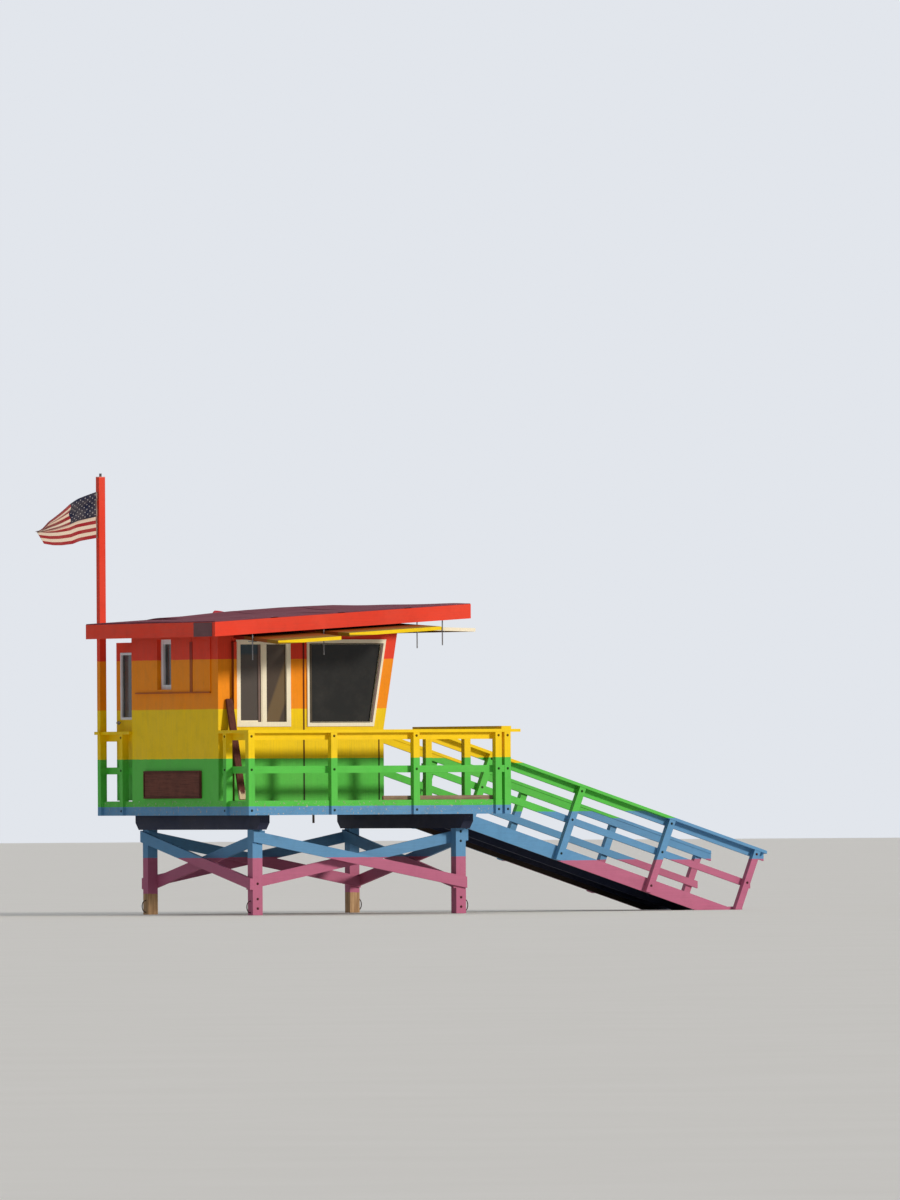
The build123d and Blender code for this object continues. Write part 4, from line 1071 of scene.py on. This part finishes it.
class TOWER_OT_leg_loops(bpy.types.Operator):
    """Bend the steel pulling loops through the feet of the legs"""

    bl_idname = "tower.leg_loops"
    bl_label = "Bend the leg loops"

    def execute(self, context):
        dark = metal_finish("Loop steel", srgb(58, 52, 50), 0.55)
        dress(skin("leg_loops", self.loops(), smooth=True), dark)
        return {"FINISHED"}

    def loops(self):
        """A loop on the outer face of each leg: half a turn, drawn out level as a power of the sine."""
        low, high = solid_boxes("legs")
        turn = np.linspace(0, math.pi, 21)
        loops = []
        for place in (low + high) / 2:
            way = -1.0 if place[0] < DECK_DEPTH / 2 else 1.0
            face = place[0] + way * 0.066
            x = face + way * 0.060 * np.sin(turn) ** 0.8
            z = 0.105 + 0.075 * np.cos(turn)
            loops.append(tubes(tower_point(x, place[1] - 0.01, z), radius=0.0065, sides=10))
        return np.concatenate(loops)


class TOWER_OT_wall_trim(bpy.types.Operator):
    """Nail the batten and the joint strips to the cabin's walls"""

    bl_idname = "tower.wall_trim"
    bl_label = "Trim the cabin walls"

    def execute(self, context):
        levels = tower_levels()
        foot, head = DECK_TOP + 0.004, 3.48
        place = tower_point(BATTEN_REAR + BATTEN_WIDTH / 2, CABIN_RIGHT - 0.030, (foot + head) / 2)
        batten = blocks(place, (BATTEN_WIDTH, 0.060, head - foot))
        paint = banded_paint("Batten paint", "Z", levels, grime=0.16, patch=shaded_side)
        dress(skin("wall_batten", batten), paint)
        dark = banded_paint("Dark joint paint", "Z", levels, grime=0.2, dim=(0.16, 0.09, 0.07))
        strips = [
            self.strip(x, y, foot, top, width)
            for x, top, width in ((1.262, roof_top(1.262) - 0.19, 0.020), (2.338, 2.30, 0.016))
            for y in (CABIN_RIGHT - 0.003, CABIN_LEFT + 0.003)
        ]
        dress(skin("joint_strips", np.concatenate(strips)), dark)
        # Painted shadow: a thin dark strip over the hatch joint stands in for the shade along it.
        cover = blocks(tower_point(CABIN_REAR - 0.014, 1.640, 3.165), (0.004, 0.080, 0.640), 0.001)
        brown = banded_paint("Painted hatch joint shade", "Z", levels, grime=0.2, dim=(0.42, 0.30, 0.28))
        dress(skin("hatch_joint_cover", cover), brown)
        return {"FINISHED"}

    def strip(self, x, y, low, high, width):
        """An upright strip 6 mm thick on a side wall."""
        return blocks(tower_point(x, y, (low + high) / 2), (width, 0.006, high - low), 0.001)


class TOWER_OT_window_beads(bpy.types.Operator):
    """Fix the glazing beads of the big side windows and the slider of the two-light window"""

    bl_idname = "tower.window_beads"
    bl_label = "Fix the window beads"

    def execute(self, context):
        rows = [self.big(CABIN_RIGHT - 0.020), self.big(CABIN_LEFT + 0.020)]
        # Painted shade: the raked beads and the slider's edge take the grey-brown of the shaded reveal and
        # stile.
        shade = plain_paint("Painted bead shade", srgb(130, 110, 104), "Z", 0.16)
        dress(skin("window_beads", np.concatenate([front for front, _ in rows])), shade)
        # Painted shade: the rear, sill and head strips are painted a darker brown.
        reveal_shade_paint = plain_paint("Painted reveal shade", srgb(84, 74, 60), "Z", 0.2)
        dress(skin("window_reveal_shade", np.concatenate([rest for _, rest in rows])), reveal_shade_paint)
        middle, height = 2.951, 0.985
        stile = blocks(tower_point(0.692, CABIN_RIGHT - 0.020, middle), (0.062, 0.004, height), 0.001)
        rail = blocks(tower_point(0.483, CABIN_RIGHT + 0.012, 2.467), (0.252, 0.024, 0.022), 0.002)
        cream = plain_paint("Slider paint", colours().cream, "Z", 0.08)
        dress(skin("slider_stile", np.concatenate([stile, rail])), cream)
        # Painted shade: the slider's edge, the side of its meeting stile, is painted in the bead shade
        # colour.
        edge = blocks(tower_point(0.632, CABIN_RIGHT + 0.012, middle), (0.036, 0.024, height), 0.002)
        dress(skin("slider_edge", edge), shade)
        return {"FINISHED"}

    def big(self, y):
        """The front bead of a big window, and the others: flat strips, 4 mm thick, over the inner part of the
        frame. The front one leans with the wall. All are painted dark as a painted shade of the window's
        reveal."""
        sill, head, start, thick = 2.397, 3.505, 1.310, 0.004
        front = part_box("window_frames_right")[1].x - CORNER_X
        length = head - sill - 0.100
        middle = (sill + head) / 2
        rear = blocks(tower_point(start + 0.0455, y, middle), (0.029, thick, length), 0.001)
        along = np.array([math.sin(FRONT_LEAN), 0.0, math.cos(FRONT_LEAN)])
        lean = math.tan(FRONT_LEAN)
        x = front - (head - middle) * lean - 0.0450 / along[2]
        axes = axes_of(along, (0.0, -1.0, 0.0))
        raked = blocks(tower_point(x, y, middle), (0.030, thick, length / along[2]), 0.001, axes)
        rest = [rear]
        for z, below_head in ((sill + 0.053, head - sill - 0.052), (head - 0.053, 0.052)):
            end = front - below_head * lean - 0.066
            size = (end - start - 0.060, thick, 0.010)
            rest.append(blocks(tower_point((start + 0.060 + end) / 2, y, z), size, 0.001))
        return raked, np.concatenate(rest)


class TOWER_OT_small_parts(bpy.types.Operator):
    """Add the fascia's patch, the kerb on the deck's edge, the corner's rail block and the drain"""

    bl_idname = "tower.small_parts"
    bl_label = "Add the patch, the kerb and the small blocks"

    def execute(self, context):
        place = tower_point(ROOF_REAR - 0.003, 0.640, ROOF_REAR_TOP - 0.002 - 0.091)
        patch = blocks(place, (0.006, 0.513, 0.178), 0.001)
        brown = plain_paint("Patch paint", srgb(112, 70, 76), "Y", 0.25)
        dress(skin("fascia_patch", patch), brown)
        kerb = blocks(tower_point(2.805, 0.112, DECK_TOP + 0.027), (1.67, 0.036, 0.054), 0.003)
        dress(skin("deck_kerb", kerb), timber_finish("Kerb board", srgb(158, 132, 110), "X"))
        paint = banded_paint("Rail block paint", "X", tower_levels())
        dress(skin("corner_rail_block", self.rail_block()), paint)
        outline = [(0.015, 0.0), (0.015, 0.100), (0.011, 0.104), (0.010, 0.104)]
        drain = lathed(tower_point(0.93, 0.019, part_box("rim_sides")[0].z), (0, 0, -1), outline, 16)
        dark = metal_finish("Drain steel", srgb(60, 56, 54), 0.55)
        dress(skin("drain_stub", drain, smooth=True), dark)
        return {"FINISHED"}

    def rail_block(self):
        """The mid rail's block between the two posts of the front right corner."""
        lows, highs = solid_boxes("deck_posts")
        posts = np.flatnonzero(lows[:, 1] < 0.01)
        inner, outer = posts[np.argsort(lows[posts, 0])][-2:]
        start, end = highs[inner, 0], lows[outer, 0]
        place = tower_point((start + end) / 2, 0.022, DECK_TOP + MID_RAIL - 0.0445)
        return blocks(place, (end - start, 0.038, 0.089), 0.001)


class TOWER_OT_stage(bpy.types.Operator):
    """Set up the camera, the lamps, the pale floor and the background"""

    bl_idname = "tower.stage"
    bl_label = "Set up the stage"

    def execute(self, context):
        scene = context.scene
        scene.view_settings.view_transform = "Standard"
        self.camera(scene)
        self.lamps()
        self.floor()
        self.world(scene)
        return {"FINISHED"}

    def hold(self, thing, axes, place):
        """Turns and places a camera or a lamp by its three axes, given as columns."""
        matrix = np.eye(4)
        matrix[:3, :3] = axes
        matrix[:3, 3] = place
        thing.matrix_world = Matrix(matrix.tolist())
        bpy.context.scene.collection.objects.link(thing)

    def camera(self, scene):
        """A long lens at eye height. It is turned from the line to the tower until the tower stands where the
        picture has it, and rolled by a third of a degree."""
        data = bpy.data.cameras.new("Long lens")
        data.sensor_width = SENSOR
        data.sensor_fit = "AUTO"
        data.lens = LENS_PIXELS / PICTURE_HEIGHT * SENSOR
        data.clip_start = 1.0
        data.clip_end = 2000.0
        towards = np.array([math.sin(VIEW_TURN), math.cos(VIEW_TURN), 0.0])
        level = np.array([math.cos(VIEW_TURN), -math.sin(VIEW_TURN), 0.0])
        upright = np.array([0.0, 0.0, 1.0])
        right = level * math.cos(VIEW_ROLL) - upright * math.sin(VIEW_ROLL)
        up = upright * math.cos(VIEW_ROLL) + level * math.sin(VIEW_ROLL)
        aside = right * (PICTURE_WIDTH / 2 - MARK_ACROSS) / LENS_PIXELS
        aim = towards + aside + up * (MARK_DOWN - PICTURE_HEIGHT / 2) / LENS_PIXELS
        aim /= np.linalg.norm(aim)
        right -= aim * np.dot(right, aim)
        right /= np.linalg.norm(right)
        axes = np.stack([right, np.cross(right, aim), -aim], axis=1)
        camera = bpy.data.objects.new("Long lens", data)
        self.hold(camera, axes, tower_point(*MARK) - towards * DISTANCE)
        scene.camera = camera

    def lamps(self):
        """A low warm key from the right and the front, a soft fill from the rear and a weak one overhead."""
        rows = (
            ("Key lamp", (0.42, -0.86, 0.30), 2.20, (1.0, 0.94, 0.86), 8.0),
            ("Fill lamp", (-0.85, -0.35, 0.45), 0.06, (0.86, 0.92, 1.0), 50.0),
            ("Top lamp", (0.05, 0.10, 1.0), 0.55, (1.0, 1.0, 1.0), 60.0),
        )
        for name, direction, strength, colour, spread in rows:
            data = bpy.data.lights.new(name, "SUN")
            data.energy = strength
            data.color = colour
            data.angle = math.radians(spread)
            self.hold(bpy.data.objects.new(name, data), axes_of(direction).T, (0.0, 0.0, 0.0))

    def floor(self):
        """A wide flat pale disc: a fan of rings from its middle."""
        radius = np.array([0.01, 6.0, 20.0, 80.0, 320.0])[:, None]
        angle = np.linspace(0, 2 * math.pi, 96, endpoint=False)[::-1]
        x, y = radius * np.cos(angle), radius * np.sin(angle)
        disc = skin("studio_floor", np.stack([x, y, np.full_like(x, -0.002)], axis=-1), lids=False)
        finish = Finish("Pale floor")
        speck = finish.noise(0.6, 4.0, 0.6)
        colour = finish.mix(speck, srgb(236, 233, 227), srgb(243, 240, 235))
        disc.data.materials.append(finish.surface(colour, 0.95))

    def world(self, scene):
        """A pale background for what the camera and the gloss see, and an even soft light for the rest."""
        world = bpy.data.worlds.new("Soft studio")
        scene.world = world
        world.use_nodes = True
        tree = world.node_tree
        tree.nodes.clear()
        rays = new_node(tree, "ShaderNodeLightPath").outputs
        mirrored = {0: rays["Is Glossy Ray"], 1: rays["Is Transmission Ray"]}
        mirrored = new_node(tree, "ShaderNodeMath", mirrored, operation="MAXIMUM").outputs[0]
        seen = {0: rays["Is Camera Ray"], 1: mirrored}
        seen = new_node(tree, "ShaderNodeMath", seen, operation="MAXIMUM").outputs[0]
        soft = new_node(tree, "ShaderNodeBackground", {"Color": (0.86, 0.92, 1.0, 1.0), "Strength": 0.26})
        pale = new_node(tree, "ShaderNodeBackground", {"Color": (0.76, 0.79, 0.84, 1.0), "Strength": 1.0})
        both = new_node(tree, "ShaderNodeMixShader", {0: seen, 1: soft.outputs[0], 2: pale.outputs[0]})
        new_node(tree, "ShaderNodeOutputWorld", {"Surface": both.outputs[0]})


OPERATORS = [
    TOWER_OT_stage,
    TOWER_OT_paint,
    TOWER_OT_roofing,
    TOWER_OT_flag,
    TOWER_OT_plaque,
    TOWER_OT_bolts,
    TOWER_OT_leg_loops,
    TOWER_OT_wall_trim,
    TOWER_OT_window_beads,
    TOWER_OT_small_parts,
]


class TOWER_PT_panel(bpy.types.Panel):
    """The tower's pieces and sizes in the sidebar"""

    bl_idname = "TOWER_PT_panel"
    bl_label = "Lifeguard tower"
    bl_space_type = "VIEW_3D"
    bl_region_type = "UI"
    bl_category = "Tower"

    def draw(self, context):
        for operator in OPERATORS:
            self.layout.operator(operator.bl_idname)
        for group in (context.scene.tower_sizes, context.scene.tower_colours):
            for name in type(group).__annotations__:
                self.layout.prop(group, name)


CLASSES = [TowerSizes, TowerColours, *OPERATORS, TOWER_PT_panel]


def register():
    """Registers the classes and hangs the sizes and colours on the scene."""
    for cls in CLASSES:
        bpy.utils.register_class(cls)
    bpy.types.Scene.tower_sizes = bpy.props.PointerProperty(type=TowerSizes)
    bpy.types.Scene.tower_colours = bpy.props.PointerProperty(type=TowerColours)


def unregister():
    """Takes the sizes and colours off the scene and unregisters the classes."""
    del bpy.types.Scene.tower_colours
    del bpy.types.Scene.tower_sizes
    for cls in reversed(CLASSES):
        bpy.utils.unregister_class(cls)


def main():
    """Dresses the tower piece by piece."""
    register()
    bpy.ops.tower.stage()
    bpy.ops.tower.paint()
    bpy.ops.tower.roofing()
    bpy.ops.tower.flag()
    bpy.ops.tower.plaque()
    bpy.ops.tower.bolts()
    bpy.ops.tower.leg_loops()
    bpy.ops.tower.wall_trim()
    bpy.ops.tower.window_beads()
    bpy.ops.tower.small_parts()


if __name__ == "__main__":
    main()
